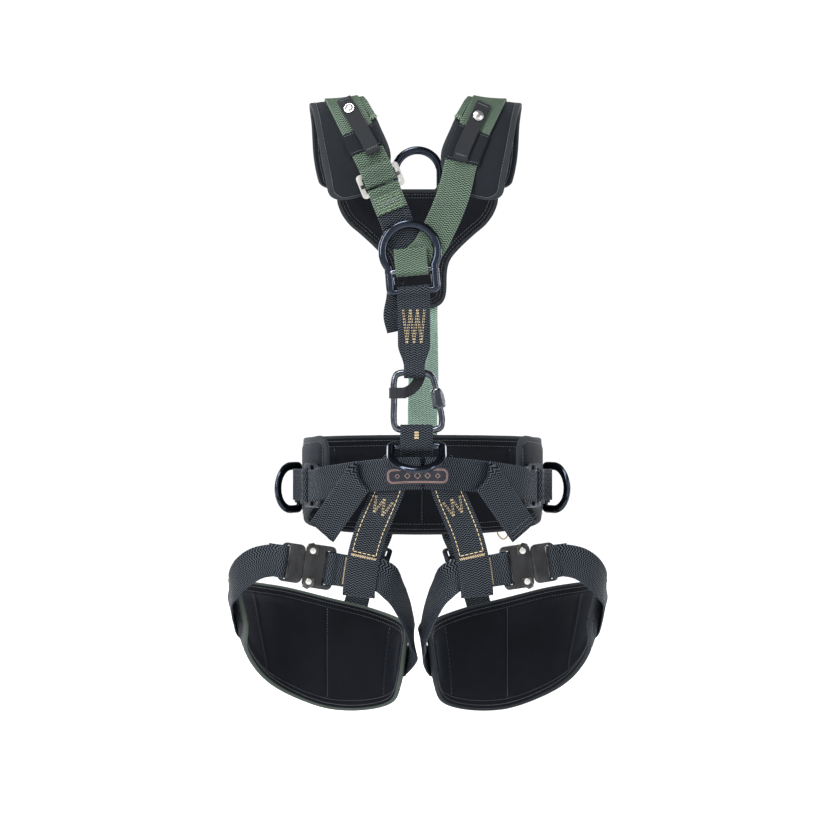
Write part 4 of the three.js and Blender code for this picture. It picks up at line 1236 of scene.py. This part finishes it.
def edge_distance(spots, outline):
    best = np.full(len(spots), 1e9)
    for a, b in zip(outline, np.roll(outline, -1, axis=0)):
        d = b - a
        t = np.clip(((spots - a) @ d) / max(1e-9, d @ d), 0, 1)
        best = np.minimum(best, np.linalg.norm(spots - (a + t[:, None] * d), axis=1))
    return best


def inside(spots, outline):
    hits = np.zeros(len(spots), bool)
    for (x1, y1), (x2, y2) in zip(outline, np.roll(outline, -1, axis=0)):
        crosses = (y1 > spots[:, 1]) != (y2 > spots[:, 1])
        with np.errstate(divide="ignore", invalid="ignore"):
            edge_x = (x2 - x1) * (spots[:, 1] - y1) / (y2 - y1) + x1
        hits ^= crosses & (spots[:, 0] < edge_x)
    return hits


YOKE_MARGIN = 13.0
YOKE_GRID = 4.0
YOKE_MIDDLE = (YOKE_FRONT + YOKE_BACK) / 2
YOKE_T = YOKE_BACK - YOKE_FRONT
CHANNEL_Z = -62.0


def yoke_triangles(outline):
    """Points over the yoke, its outline's points first, and the triangles between them."""
    xs = np.arange(-118, 119, YOKE_GRID)
    zs = np.arange(-168, 66, YOKE_GRID)
    grid = np.array([(x + YOKE_GRID / 2 * (j % 2), z) for j, z in enumerate(zs) for x in xs])
    grid = grid[inside(grid, outline)]
    grid = grid[edge_distance(grid, outline) > 2.2]
    count = len(outline)
    loop = [(i, (i + 1) % count) for i in range(count)]
    flat = [Vector(p) for p in np.concatenate([outline, grid])]
    result = delaunay_2d_cdt(flat, loop, [list(range(count))], 1, 1e-4)
    return np.array([tuple(v) for v in result[0]]), result[2]


def yoke_height(x, z, edge, front):
    bound = BINDING_T / 2
    if not front:
        return bound + (YOKE_T / 2 - bound) * smoothstep(2, 16, edge)
    if edge < YOKE_MARGIN:
        return bound + 1.2 * math.sin(math.pi * min(1, edge / YOKE_MARGIN)) ** 0.7
    puff = 0.4 * math.sin(x / 19 + z / 27) + 0.3 * math.sin(z / 11)
    channel = 2.2 * math.exp(-(((z - CHANNEL_Z) / 2.8) ** 2))
    return bound + (YOKE_T / 2 - bound + 2.0 + puff - channel) * smoothstep(0, 12, edge - YOKE_MARGIN) ** 0.6


def yoke_face(build, spots, triangles, far, front):
    """One face of the yoke, its triangles wound so that they look outwards."""
    base = len(build.verts)
    sign = -1 if front else 1
    for (x, z), edge in zip(spots, far):
        build.verts.append(v3(x, YOKE_MIDDLE + sign * yoke_height(x, z, edge, front), z))
    for corners in triangles:
        a, b, c = (spots[i] for i in corners)
        turns_left = (b[0] - a[0]) * (c[1] - a[1]) - (b[1] - a[1]) * (c[0] - a[0]) > 0
        corners = list(corners) if turns_left == front else list(corners)[::-1]
        build.face([base + i for i in corners], [spots[i] for i in corners], 0 if front else 1)


def yoke_pad():
    outline = even(soften(YOKE_HALF + [(-x, z) for x, z in YOKE_HALF[-2:0:-1]]), 3.0)
    spots, triangles = yoke_triangles(outline)
    far = edge_distance(spots, outline)
    build = Build()
    yoke_face(build, spots, triangles, far, True)
    yoke_face(build, spots, triangles, far, False)
    rim = even(outline, 4.0)
    fold_tape(build, [v3(x, YOKE_MIDDLE, z) for x, z in rim], [FRONT] * len(rim), 2)

    def above(sign):
        return lambda x, z, lift: v3(x, YOKE_MIDDLE + sign * (BINDING_T / 2 + TAPE_LIFT + lift), z)

    for distance in (6.8, YOKE_MARGIN - 1.5):
        path = inset_outline(rim, distance)
        path = [*path, path[0]]
        sew(build, above(-1), path, 3, radius=0.32, gap=1.5)
        sew(build, above(1), path, 3, radius=0.3)
    obj = build.object("yoke", MESH, SHELL, BINDING, DARK)
    finish_piece(obj, "harness", ["yoke_pad"])


def foam_pad(name, pad, body, node, binding=BINDING):
    build = Build()
    pad.lay(build, 0, 1)
    pad.bind(build, 2, 3)
    pad.quilt(build, 3)
    obj = build.object(name, MESH, SHELL, binding, DARK)
    finish_piece(obj, body, [node])


# ---------- rings and round hardware ----------

class Station:
    """Axes of a piece of hardware: local X, Y and Z = X x Y, at a place."""

    def __init__(self, at, x, y):
        self.at = np.asarray(at, float)
        self.x = unit(x)
        self.z = unit(np.cross(self.x, y))
        self.y = np.cross(self.z, self.x)

    def __call__(self, x, y, z):
        return self.at + self.x * x + self.y * y + self.z * z

    def round(self, x, r, turn):
        """A point about the local X axis."""
        return self(x, r * math.cos(turn), r * math.sin(turn))


def arc(cx, cy, r, start, end, steps):
    turns = np.linspace(start, end, steps + 1)
    return [(cx + r * math.cos(a), cy + r * math.sin(a)) for a in turns]


RING_CORNER = 5.0


def bow(half, steps, heights, over):
    """A ring's outline: its bar, two rounded corners, the points of its sides and the arc over the top."""
    inner = half - RING_CORNER
    bar = [(x, 0.0) for x in np.linspace(-inner, inner, steps)[:-1]]
    up = [(half, y) for y in heights]
    right = arc(inner, RING_CORNER, RING_CORNER, -math.pi / 2, 0, 6)
    left = arc(-inner, RING_CORNER, RING_CORNER, math.pi, 1.5 * math.pi, 6)[:-1]
    return bar + right + up + over + [(-x, y) for x, y in reversed(up)] + left


def d_outline(width, height):
    r = (width - RING_W) / 2
    top = height - RING_W / 2 - r
    return bow(r, 18, np.linspace(RING_CORNER, top, 5)[1:-1], arc(0, top, r, 0, math.pi, 44))


def sternal_outline():
    circle_y, radius, half = 55.0, 37.9, 31.5
    start = -math.acos(half / radius)
    return bow(half, 16, (12, 19, 26), arc(0, circle_y, radius, start, math.pi - start, 60))


def lay_ring(build, outline, place):
    """Forged ring: an oval section, round and slimmer along its bar."""
    p = np.array(outline)
    count = len(p)
    reach = float(np.max(np.abs(p[:, 0])))
    rows, uvs = [], []
    for i, run in enumerate(running([*p, p[0]])):
        k = i % count
        along = unit(p[(k + 1) % count] - p[k - 1])
        off = np.array([along[1], -along[0]])
        bar = (1 - smoothstep(0, 4, p[k][1])) * (1 - smoothstep(reach - 12, reach - 3, abs(p[k][0])))
        a, b = (size / 2 * (1 - bar) + BAR_R * bar for size in (RING_W, RING_T))
        power = 0.92 * (1 - bar) + bar
        ring = []
        for turn in circle(24):
            x, y = p[k] + off * a * bulge(math.cos(turn), power)
            ring.append(place(x, y, b * bulge(math.sin(turn), power)))
        rows.append(ring)
        uvs.append([(1.3 * j, run) for j in range(25)])
    build.grid(rows, uvs, closed=True)


def ring_piece(name, outline, place, node, middle_bar=None):
    """A ring, which rides on the body named after its node."""
    build = Build()
    lay_ring(build, outline, place)
    if middle_bar:
        build.tube([place(x, middle_bar, 0) for x in np.linspace(-31, 31, 14)], BAR_R, sides=20)
    finish_piece(build.object(name, RING), node.replace("_d_", "_"), [node])


def quick_link():
    left, top, bottom = LINK_LEFT, LINK_TOP, LINK_BOTTOM
    points = [
        (26.3, -293), (24, -282), (19, -269), (9, top), (-10, top), (left + 11, top), (left + 3, top - 3),
        (left, top - 11), (left, -303), (left, bottom + 11), (left + 3, bottom + 3), (left + 11, bottom),
        (0, bottom), (22, bottom), (31, bottom + 4), (33, bottom + 14), (31.5, -316), (29, -306),
    ]
    curve = catmull([v3(x, FRONT_Y, z) for x, z in points])
    build = Build()
    build.tube([curve(t) for t in np.linspace(0, 1, 150)], LINK_R, sides=24, across=Y)
    finish_piece(build.object("screw_link", STEEL), "harness", ["quick_link"])
    return curve(0), curve(1)


SLEEVE_FLATS = 7.8
SLEEVE_BORE = LINK_R + 1.0
SLEEVE_HALF = 13.5
THREAD_PITCH = 2.2
THREAD_TURNS = 9


def sleeve_radius(x, turn):
    """A six-sided outside, turned down to a cone at both ends."""
    flat = SLEEVE_FLATS / math.cos((turn + math.pi / 6) % (math.pi / 3) - math.pi / 6)
    return min(flat, 7.0 + 0.75 * (SLEEVE_HALF - abs(x)))


def link_sleeve(upper, lower):
    """The sleeve that closes the link, and the thread that it covers."""
    place = Station((upper + lower) / 2, upper - lower, Y)
    ends = [SLEEVE_HALF - inset for inset in (0, 0.7, 1.6, 3.2, 7.5)]
    outside = [*(-x for x in ends), 0, *reversed(ends)]
    bore = (SLEEVE_HALF, -SLEEVE_HALF)
    rows = [[place.round(bore[1], SLEEVE_BORE, turn) for turn in circle(72)]]
    rows += [[place.round(x, sleeve_radius(x, turn), turn) for turn in circle(72)] for x in outside]
    rows += [[place.round(x, SLEEVE_BORE, turn) for turn in circle(72)] for x in bore]
    runs = [x + SLEEVE_HALF for x in (bore[1], *outside, *bore)]
    build = Build()
    build.grid(rows, [[(j * 0.7, run) for j in range(73)] for run in runs], closed=True)
    obj = build.object("link_sleeve", STEEL)
    obj.data.set_sharp_from_angle(angle=math.radians(35))
    finish_piece(obj, "link_sleeve", ["quick_link_sleeve"])
    spots = []
    for turns in np.linspace(0, THREAD_TURNS, THREAD_TURNS * 20 + 1):
        x = 2.5 - SLEEVE_HALF + THREAD_PITCH * turns
        spots.append(place.round(x, LINK_R - 0.15, 2 * math.pi * turns))
    screw = Build()
    screw.tube(spots, 0.5)
    finish_piece(screw.object("link_thread", STEEL), "harness", [])


def machined(name, node, material, body, width, cover=None, rivets=(), slot=None):
    """The piece of the frame with its edges broken, as machined or cast metal has them.
    cover is the material of its faces that look to the wearer's front. Rivet heads are bright."""
    mesh = NODES[node].data.copy()
    mesh.name = name
    bm = bmesh.new()
    bm.from_mesh(mesh)
    bmesh.ops.remove_doubles(bm, verts=bm.verts, dist=1e-6)
    bmesh.ops.dissolve_limit(bm, angle_limit=math.radians(4), verts=bm.verts, edges=bm.edges)
    sharp = [e for e in bm.edges if len(e.link_faces) == 2 and e.calc_face_angle() > math.radians(36)]
    bmesh.ops.bevel(bm, geom=sharp, offset=width * MM, segments=3, profile=0.5, affect="EDGES",
                    clamp_overlap=True, loop_slide=True)
    bm.to_mesh(mesh)
    bm.free()
    mesh.materials.clear()
    mesh.materials.append(material)
    mesh.materials.append(cover or BRIGHT)
    for polygon in mesh.polygons:
        near = any((polygon.center - Vector(metres(rivet))).length < 5 * MM for rivet in rivets)
        polygon.material_index = 1 if near or (cover and polygon.normal.y < -0.5) else 0
    mesh.polygons.foreach_set("use_smooth", [True] * len(mesh.polygons))
    mesh.set_sharp_from_angle(angle=math.radians(38))
    if "weave" not in mesh.uv_layers:
        mesh.uv_layers.new(name="weave")
    finish_piece(in_scene(bpy.data.objects.new(name, mesh)), body, [node], slot)


STUD = [(0, 2.9), (2.4, 2.8), (4.4, 2.35), (5.7, 1.7), (6.3, 1.1), (6.7, 1.25), (7.2, 1.2), (7.5, 0.7),
        (7.4, 0.2), (6.8, 0.0), (0, 0.0)]


def snap_cap(name, at, along, across, body, node):
    """Domed press stud with a rolled rim."""
    place = Station(at, along, across)
    rows = []
    for r, h in STUD:
        r = max(r, 0.02)
        rows.append([place(r * math.cos(turn), r * math.sin(turn), h) for turn in circle(48)])
    build = Build()
    build.grid(rows, [[(j * 0.9, i) for j in range(49)] for i in range(len(STUD))], closed=True)
    finish_piece(build.object(name, BRIGHT), body, [node])


CORD_ROUTE = [(-4, 0.4, -474), (-4, 0.4, -490), (-3, 1, -503), (0, 1.4, -509), (3, 1, -503), (4, 0.4, -490),
              (4, 0.4, -474)]
CORD_TURNS = 18
STRAND_R = 0.68
STRAND_OUT = 0.55


def tool_loop(name, side, node):
    """Three strands of thin accessory cord laid together."""
    middle = 180 - belt_angle(side * 128)
    curve = catmull([(*belt(middle + turn, out)[0][:2], z) for turn, out, z in CORD_ROUTE])
    normal = belt(middle)[1]
    build = Build()
    for strand in range(3):
        spots = []
        for t in np.linspace(0, 1, 141):
            along = unit(curve(min(1, t + 1e-3)) - curve(max(0, t - 1e-3)))
            other = unit(np.cross(along, normal))
            turn = 2 * math.pi * (strand / 3 + t * CORD_TURNS)
            spots.append(curve(t) + STRAND_OUT * (math.cos(turn) * normal + math.sin(turn) * other))
        build.tube(spots, STRAND_R, sides=8)
    finish_piece(build.object(name, CORD), "harness", [node])


# ---------- straps ----------

def shoulder_straps():
    def long_rows(build, ribbon):
        end = ribbon.nearest(on_shoulder(1, 3)) + 60
        for u in (-18.5, 18.5):
            sew(build, on_face(ribbon), [(u, 10), (u, end)], radius=0.4)

    web_piece("chest_strap_right", shoulder_web_right(), GREEN_WEB, "shoulder_web_right",
              stitches=long_rows, thread_mat=GREEN, seed=2)
    bend = "harness", "shoulder_bar", CHEST_AT - CHEST_LOAD * 30, CHEST_AT - CHEST_LOAD * 8
    web_piece("chest_strap_left", shoulder_web_left(), GREEN_WEB, "shoulder_web_left",
              stitches=long_rows, thread_mat=GREEN, seed=3, bend=bend)


def adjuster_tab():
    ribbon = Ribbon(chest_tab())
    low = ribbon.length - 24
    build = Build()
    lay_webbing(build, ribbon, seed=5)
    cross_rows(build, ribbon, [low + 4.2 * k for k in range(6)], 19, radius=0.42, gap=0.9)
    cross_rows(build, ribbon, [low + 9.4 + 0.9 * k for k in range(3)], 13, 2, length=20, radius=0.42)
    finish_piece(build.object("adjuster_tab", GREEN_WEB, GREEN, DARK), "harness", ["chest_tab"])


def sling_width(at):
    """The sling's webbing is folded narrow where it carries the link."""
    return 29 + (WEB - 29) * smoothstep(-256, -225, at[2])


def chest_pieces():
    def sling_stitch(build, ribbon):
        middle = [s for s in np.linspace(0, ribbon.length, 400) if -224 < ribbon.frame(s)[0][2] < -176]
        w_tack(build, ribbon, min(middle), max(middle), 6, ribbon.front_face(middle[0]), 0.66)

    adjuster_tab()
    web_piece("chest_strap_black", chest_web_left(), BLACK_WEB, "chest_web_left", seed=6)
    bend = "sternal_ring", "harness", STERNAL_AT + DOWN * 8, STERNAL_AT + DOWN * 60
    web_piece("chest_sling", CHEST_SLING, BLACK_WEB, "chest_link_strap",
              stitches=sling_stitch, width=sling_width, bend=bend)
    web_piece("chest_strap_tail", CHEST_TAIL, BLACK_WEB, "chest_tail", seed=8, width=22)


def belt_pieces():
    def hem(build, strap):
        cross_rows(build, strap, (strap.length - 5, strap.length - 12), 19, radius=0.34)

    def box(build, strap):
        low, high, half = strap.length - 15, strap.length - 3, 17.5
        corners = [(-half, low), (half, low), (half, high), (-half, high), (-half, low)]
        sew(build, on_face(strap), corners, radius=0.4)

    web_piece("belt_back", waist_web_back(), BLACK_WEB, "waist_web_back", seed=11)
    for name, side in SIDES:
        at, load, _ = waist_adjuster(side)
        bend = "harness", f"waist_bar_{name}", at - load * 34, at - load * 9
        web_piece(f"belt_front_{name}", waist_web_front(side), BLACK_WEB, f"waist_web_{name}",
                  stitches=hem, thread_mat=DARK, seed=12 + side, bend=bend)
        web_piece(f"side_tab_{name}", side_tab(side), BLACK_WEB, f"side_ring_tab_{name}",
                  stitches=box, thread_mat=DARK, seed=15 + side)


def bridge_and_back():
    def loop_tack(build, strap):
        front = min(np.linspace(0, strap.length, 300), key=lambda s: strap.frame(s)[0][1])
        place = on_face(strap, strap.front_face(front))
        for k in range(5):
            u = -2.4 + 1.2 * k
            sew(build, place, [(u, front - 5.5), (u, front + 5.5)], radius=0.45)

    def seam(build, strap):
        s = strap.nearest(BACK_STRAP[5])
        for face in (1, -1):
            cross_rows(build, strap, (s, s + 3), 20, face=face, radius=0.4)

    web_piece("bridge_loop", ventral_loop(), BLACK_WEB, "ventral_web_loop", stitches=loop_tack)
    web_piece("back_strap", BACK_STRAP, MINT_WEB, "back_strap", stitches=seam, thread_mat=GREEN)


def dorsal_tab():
    def tack(build, strap):
        cross_rows(build, strap, [strap.length - 4 - 4 * k for k in range(4)], 18, radius=0.42)

    start = [(0, -RING_LOOP_R, z, 1, 0, 0) for z in (-46, -26)]
    rows = loop_rows(v3(0, 0, 0), RING_LOOP_R, Y, Z, X, tail=24)
    web_piece("dorsal_tab", [*start, *rows], BLACK_WEB, "dorsal_ring_tab", stitches=tack)


RISER_ROWS = 16.5


def riser_stitch(side):
    def stitches(build, strap):
        top, low = (strap.nearest(front_riser(side)[k]) for k in (2, 4))
        face = strap.front_face(low)
        rim = low - 4
        for path in ([(-RISER_ROWS, 12), (-RISER_ROWS, rim)], [(RISER_ROWS, 12), (RISER_ROWS, rim)],
                     [(-RISER_ROWS, rim), (RISER_ROWS, rim)]):
            sew(build, on_face(strap, face), path, length=4.4, gap=1.9, radius=0.55)
        w_tack(build, strap, top + 8, top + 32, 4, face, 0.56)
        bar_tack(build, strap, low - 1, face, 0.78, 3.6)

    return stitches


def inner_stitch(spot):
    def stitches(build, strap):
        s = strap.nearest(spot)
        bar_tack(build, strap, s, strap.front_face(s), 0.84, 2.2)

    return stitches


def rear_stitch(build, strap):
    for s in (6, 12):
        for face in (1, -1):
            bar_tack(build, strap, s, face, 0.8, 2.0)


def leg_pieces():
    for name, side in SIDES:
        body = f"leg_loop_{name}"
        axis, _ = buckle_axes(side)
        tongue = BUCKLE_AT[side] + axis * TONGUE_BAR
        web_piece(f"riser_front_{name}", front_riser(side), BLACK_WEB, f"front_riser_{name}",
                  stitches=riser_stitch(side), seed=21 + side,
                  bend=("harness", body, (0, 0, -450), (0, 0, -520)))
        web_piece(f"leg_strap_outer_{name}", leg_web_outer(side), BLACK_WEB, f"leg_web_outer_{name}",
                  seed=25 + side, bend=(body, f"tongue_{name}", tongue + axis * 40, tongue + axis * 11))
        web_piece(f"leg_strap_inner_{name}", leg_web_inner(side), BLACK_WEB, f"leg_web_inner_{name}", body,
                  inner_stitch(BUCKLE_AT[side] + axis * (BODY_BAR - 20)), seed=31 + side)
        web_piece(f"riser_rear_{name}", rear_riser(side), BLACK_WEB, f"rear_riser_{name}",
                  stitches=rear_stitch, seed=41 + side, width=38, thickness=2.0,
                  bend=("harness", body, (0, 0, -500), (0, 0, -585)))
        foam_pad(f"leg_cushion_{name}", LEG_PADS[side], body, f"leg_pad_{name}",
                 BINDING_GREEN if side < 0 else BINDING)


KEEPERS = {
    "left": (-1, (4.85, 6.8), (9, 22), (LAYER + 3.2, LAYER + 7)),
    "right": (1, (5.1, 7.0), (12, 18), (LAYER + 3.2, LAYER + 4.4)),
}


def keeper_row(keeper, share, above=0.0):
    side, *ranges = keeper
    k, into, up = (low + (high - low) * share for low, high in ranges)
    return on_shoulder(side, k, into, up + above)


def keeper_pieces():
    def fold(build, strap):
        for s in (4, strap.length - 9):
            bar_tack(build, strap, s, 1, 0.75, 2.0)

    for name, keeper in KEEPERS.items():
        body = f"keeper_{name}"
        rows = [keeper_row(keeper, share) for share in (0, 0.2, 0.4, 0.6, 0.8, 1)]
        web_piece(f"lanyard_strap_{name}", rows, ELASTIC, f"lanyard_keeper_{name}", body, fold, DARK,
                  52 + keeper[0], width=21, thickness=1.6)
        first, second = (np.array(keeper_row(keeper, share, 1.4)) for share in (0.24, 0.3))
        snap_cap(f"press_stud_{name}", first[:3], (second - first)[:3], first[3:], body, f"snap_cap_{name}")


def shoulder_covers():
    """Cloth sleeves over the lower end of each shoulder strap, and the narrow piping on its neck side."""
    def hem(build, strap):
        cross_rows(build, strap, (3.0, strap.length - 3.0), 22, radius=0.32)

    def tuft(build, strap):
        for u in (-3, -1, 1, 3):
            path = [(u, strap.length - 7), (u * 2.2, strap.length + 1.5)]
            sew(build, on_face(strap), path, length=12, radius=0.4)

    for (name, side), end in zip(SIDES, (6.62, 7.0)):
        rows = []
        for k in np.linspace(5.95, end, 5):
            rows.append(on_shoulder(side, k, strap_inward(min(k, 6)) + 2.4 * max(0, k - 6), 1.4))
        web_piece(f"strap_cover_{name}", rows, SHELL, None, stitches=hem, thread_mat=DARK, seed=61 + side,
                  width=49, thickness=4.4)
        rows = [on_shoulder(side, k, strap_inward(k) + 27.5, -0.2) for k in np.linspace(3.6, 5.75, 8)]
        web_piece(f"piping_{name}", rows, GREEN_WEB, None, stitches=tuft, thread_mat=GREEN, seed=71 + side,
                  width=8, thickness=1.6)


BAND_Z = -292.0
BAND_BEHIND = 9.0


def link_band():
    """Elastic that comes down from behind the sling and turns round the link's spine."""
    behind = FRONT_Y + BAND_BEHIND
    rows = [
        (4, behind, -265, -0.95, 0, 0.3),
        (0, behind, -276, -0.88, 0, 0.47),
        (-7, behind - 0.5, -285, -0.65, 0, 0.76),
        (-17, behind - 1.5, BAND_Z + 1, -0.3, 0, 0.95),
        *loop_rows(v3(LINK_LEFT, FRONT_Y, BAND_Z), LINK_LOOP_R, FRONT, -X, Z, rest=LINK_LOOP_R, tail=10),
    ]
    web_piece("link_band", rows, ELASTIC, "quick_link_keeper", width=15, thickness=1.2)


LABEL_WIDE = 25.0
LABEL_T = 1.2
LABEL_OUT = WEB_T / 2 + 1.1
LABEL_UP = -3.5
LABEL_ANGLES = (-17, -11, -5, 1, 7, 12)
LABEL_CORNER = 10.1
DIAMOND_PITCH = 14.0


def label_border(length, inset):
    """Closed path of (u, s) with rounded corners, a stated distance inside the label's edge."""
    r = LABEL_CORNER - inset
    u, low, high = LABEL_WIDE / 2 - inset - r, inset + r, length - inset - r
    path = []
    for quarter, (cu, cs) in enumerate(((u, high), (u, low), (-u, low), (-u, high))):
        for k in range(7):
            turn = math.pi / 2 * (quarter + k / 6)
            path.append((cu + r * math.sin(turn), cs + r * math.cos(turn)))
    return path + path[:1]


def label():
    """Woven patch with a plain rounded border and a row of diamonds."""
    ribbon = Ribbon([belt_row(angle, LABEL_OUT, LABEL_UP) for angle in LABEL_ANGLES], LABEL_WIDE, LABEL_T)
    build = Build()
    lay_webbing(build, ribbon, wave=0.05)
    length = ribbon.length
    place = on_face(ribbon, ribbon.front_face(length / 2))
    for inset in (3.0, 4.6):
        sew(build, place, label_border(length, inset), length=2.2, gap=0.1, radius=0.4)
    for k in range(-2, 3):
        s = length / 2 + DIAMOND_PITCH * k
        size = 4.4 - 0.6 * abs(k)
        diamond = [(0, s - size), (size, s), (0, s + size), (-size, s), (0, s - size)]
        sew(build, place, diamond, gap=0.1, radius=0.35)
    finish_piece(build.object("label", PATCH, COPPER), "harness", ["label_patch"])


# ---------- buckles, adjusters and rings ----------

ROLLER_HALF = 23.7
BODY_SLOT = (-22.2, -19.2)
TONGUE_SLOT = (28.3, 32.0)
RIVET_BACK = 2.0
RIVET_OUT = 21.5
RIVET_FRONT = 10.0


def slot_roller(name, side, slot, body):
    """Pin that fills a buckle's slot beside the webbing."""
    low, high = slot
    place = Station(BUCKLE_AT[side], *buckle_axes(side))
    build = Build()
    spots = [place((low + high) / 2, v, 0) for v in np.linspace(-ROLLER_HALF, ROLLER_HALF, 5)]
    build.tube(spots, (high - low) / 2, sides=16)
    finish_piece(build.object(name, BUCKLE), body, [])


def leg_buckle(name, side):
    axis, across = buckle_axes(side)
    middle = BUCKLE_AT[side] - axis * RIVET_BACK + FRONT * RIVET_FRONT
    rivets = [middle + across * end * RIVET_OUT for end in (-1, 1)]
    body, tongue = f"leg_loop_{name}", f"tongue_{name}"
    machined(f"buckle_{name}", f"buckle_body_{name}", BUCKLE, body, 0.9, rivets=rivets)
    machined(f"tongue_plate_{name}", f"buckle_tongue_{name}", BUCKLE, tongue, 0.8)
    slot_roller(f"body_roller_{name}", side, BODY_SLOT, body)
    slot_roller(f"tongue_roller_{name}", side, TONGUE_SLOT, tongue)
    for latch in (f"latch_upper_{name}", f"latch_lower_{name}"):
        machined(f"{latch}_arm", f"buckle_{latch}", LATCH, latch, 0.4, cover=BUCKLE)


def hardware():
    machined("adjuster_frame", "shoulder_adjuster_frame", BRIGHT, "harness", 1.1)
    machined("adjuster_bar", "shoulder_adjuster_bar", BUCKLE, "shoulder_bar", 0.5)
    for name, side in SIDES:
        machined(f"belt_adjuster_{name}", f"waist_adjuster_frame_{name}", STEEL, "harness", 1.1,
                 slot="bright_steel")
        machined(f"belt_bar_{name}", f"waist_adjuster_bar_{name}", BUCKLE, f"waist_bar_{name}", 0.5)
        leg_buckle(name, side)
        machined(f"rear_glide_{name}", f"rear_riser_buckle_{name}", STEEL, "harness", 0.6)
    for name, side in SIDES:
        tool_loop(f"gear_loop_{name}", side, f"tool_loop_{name}")


def rings():
    ring_piece("dorsal_ring", d_outline(79, 72), Station(v3(0, 0, 0), X, Z), "dorsal_d_ring")
    ring_piece("chest_ring", sternal_outline(), Station(STERNAL_AT, STERNAL_ACROSS, STERNAL_UP),
               "sternal_d_ring", middle_bar=28)
    ring_piece("ventral_ring", d_outline(83, 62), Station(VENTRAL_AT, -X, VENTRAL_DOWN), "ventral_d_ring")
    for name, side in SIDES:
        at, _, _, point = side_ring(side)
        place = Station(at, Z if side < 0 else DOWN, point)
        ring_piece(f"side_ring_{name}", d_outline(75, 58), place, f"side_d_ring_{name}")


def pads():
    yoke_pad()
    for name, side in SIDES:
        foam_pad(f"shoulder_cushion_{name}", SHOULDERS[side], "harness", f"shoulder_pad_{name}")
    waist = Pad(waist_rows(), PAD_T, (BELT_X, BELT_Y, BELT_Z), margin=16, seams=(0.3, 0.5, 0.7), corner=22)
    foam_pad("waist_cushion", waist, "harness", "waist_pad")


# ---------- stage ----------

LOW, HIGH = (Vector(corner) for corner in CAD_BOX)
MIDDLE = (LOW + HIGH) / 2
CAMERA_AWAY = 2.62


def camera():
    data = bpy.data.cameras.new("camera")
    data.lens = 85
    data.sensor_width = 36
    obj = in_scene(bpy.data.objects.new("camera", data))
    obj.location = (MIDDLE.x - 0.011, LOW.y - CAMERA_AWAY, MIDDLE.z + 0.001)
    obj.rotation_euler = (math.pi / 2, 0, 0)
    bpy.context.scene.camera = obj


def light(name, at, size, power, color=(1, 1, 1)):
    data = bpy.data.lights.new(name, "AREA")
    data.shape = "RECTANGLE"
    data.size, data.size_y = size
    data.energy = power
    data.color = color
    obj = in_scene(bpy.data.objects.new(name, data))
    obj.location = at
    obj.rotation_euler = (MIDDLE - Vector(at)).to_track_quat("-Z", "Y").to_euler()


def sky():
    """White all round the horizon, dimmer overhead, so that dark cloth keeps its contrast."""
    world = bpy.data.worlds.new("studio")
    bpy.context.scene.world = world
    world.use_nodes = True
    nodes, links = world.node_tree.nodes, world.node_tree.links
    split = nodes.new("ShaderNodeSeparateXYZ")
    links.new(nodes.new("ShaderNodeTexCoord").outputs["Generated"], split.inputs[0])
    fade = nodes.new("ShaderNodeMapRange")
    fade.interpolation_type = "SMOOTHSTEP"
    links.new(split.outputs[2], fade.inputs["Value"])
    for name, value in (("From Min", 0.22), ("From Max", 0.45), ("To Min", 1.0), ("To Max", 0.15)):
        fade.inputs[name].default_value = value
    background = nodes["Background"]
    background.inputs["Color"].default_value = (1.04, 1.04, 1.04, 1)
    links.new(fade.outputs[0], background.inputs["Strength"])


def floor():
    bpy.ops.mesh.primitive_plane_add(size=400, location=(0, 0, LOW.z - 0.05))
    plane = bpy.context.object
    plane.name = "floor"
    shade = Shade("floor")
    color = shade.mix(shade.noise(shade.place(1.0), 1.2), (0.96, 0.96, 0.96), (0.99, 0.99, 0.99))
    plane.data.materials.append(shade.set(color=color, roughness=1.0, specular=0.0))


def overhead():
    sun = bpy.data.lights.new("overhead", "SUN")
    sun.energy = 3.2
    sun.angle = math.radians(24)
    obj = in_scene(bpy.data.objects.new("overhead", sun))
    obj.rotation_euler = (math.radians(30), math.radians(-16), 0)


def stage():
    camera()
    floor()
    sky()
    light("key", (-1.5, -1.9, 0.7), (0.5, 1.7), 60)
    light("fill", (1.9, -1.7, 0.2), (0.4, 1.7), 28, (0.93, 0.96, 1.0))
    light("rim_left", (-1.6, 1.2, 0.6), (0.6, 1.6), 40)
    light("rim_right", (1.6, 1.3, 0.6), (0.6, 1.6), 40)
    overhead()
    view = bpy.context.scene.view_settings
    view.view_transform = "Standard"
    view.look = "None"
    view.exposure = 0.0


pads()
rings()
link_sleeve(*quick_link())
link_band()
shoulder_straps()
shoulder_covers()
chest_pieces()
dorsal_tab()
belt_pieces()
bridge_and_back()
leg_pieces()
keeper_pieces()
label()
hardware()
stage()
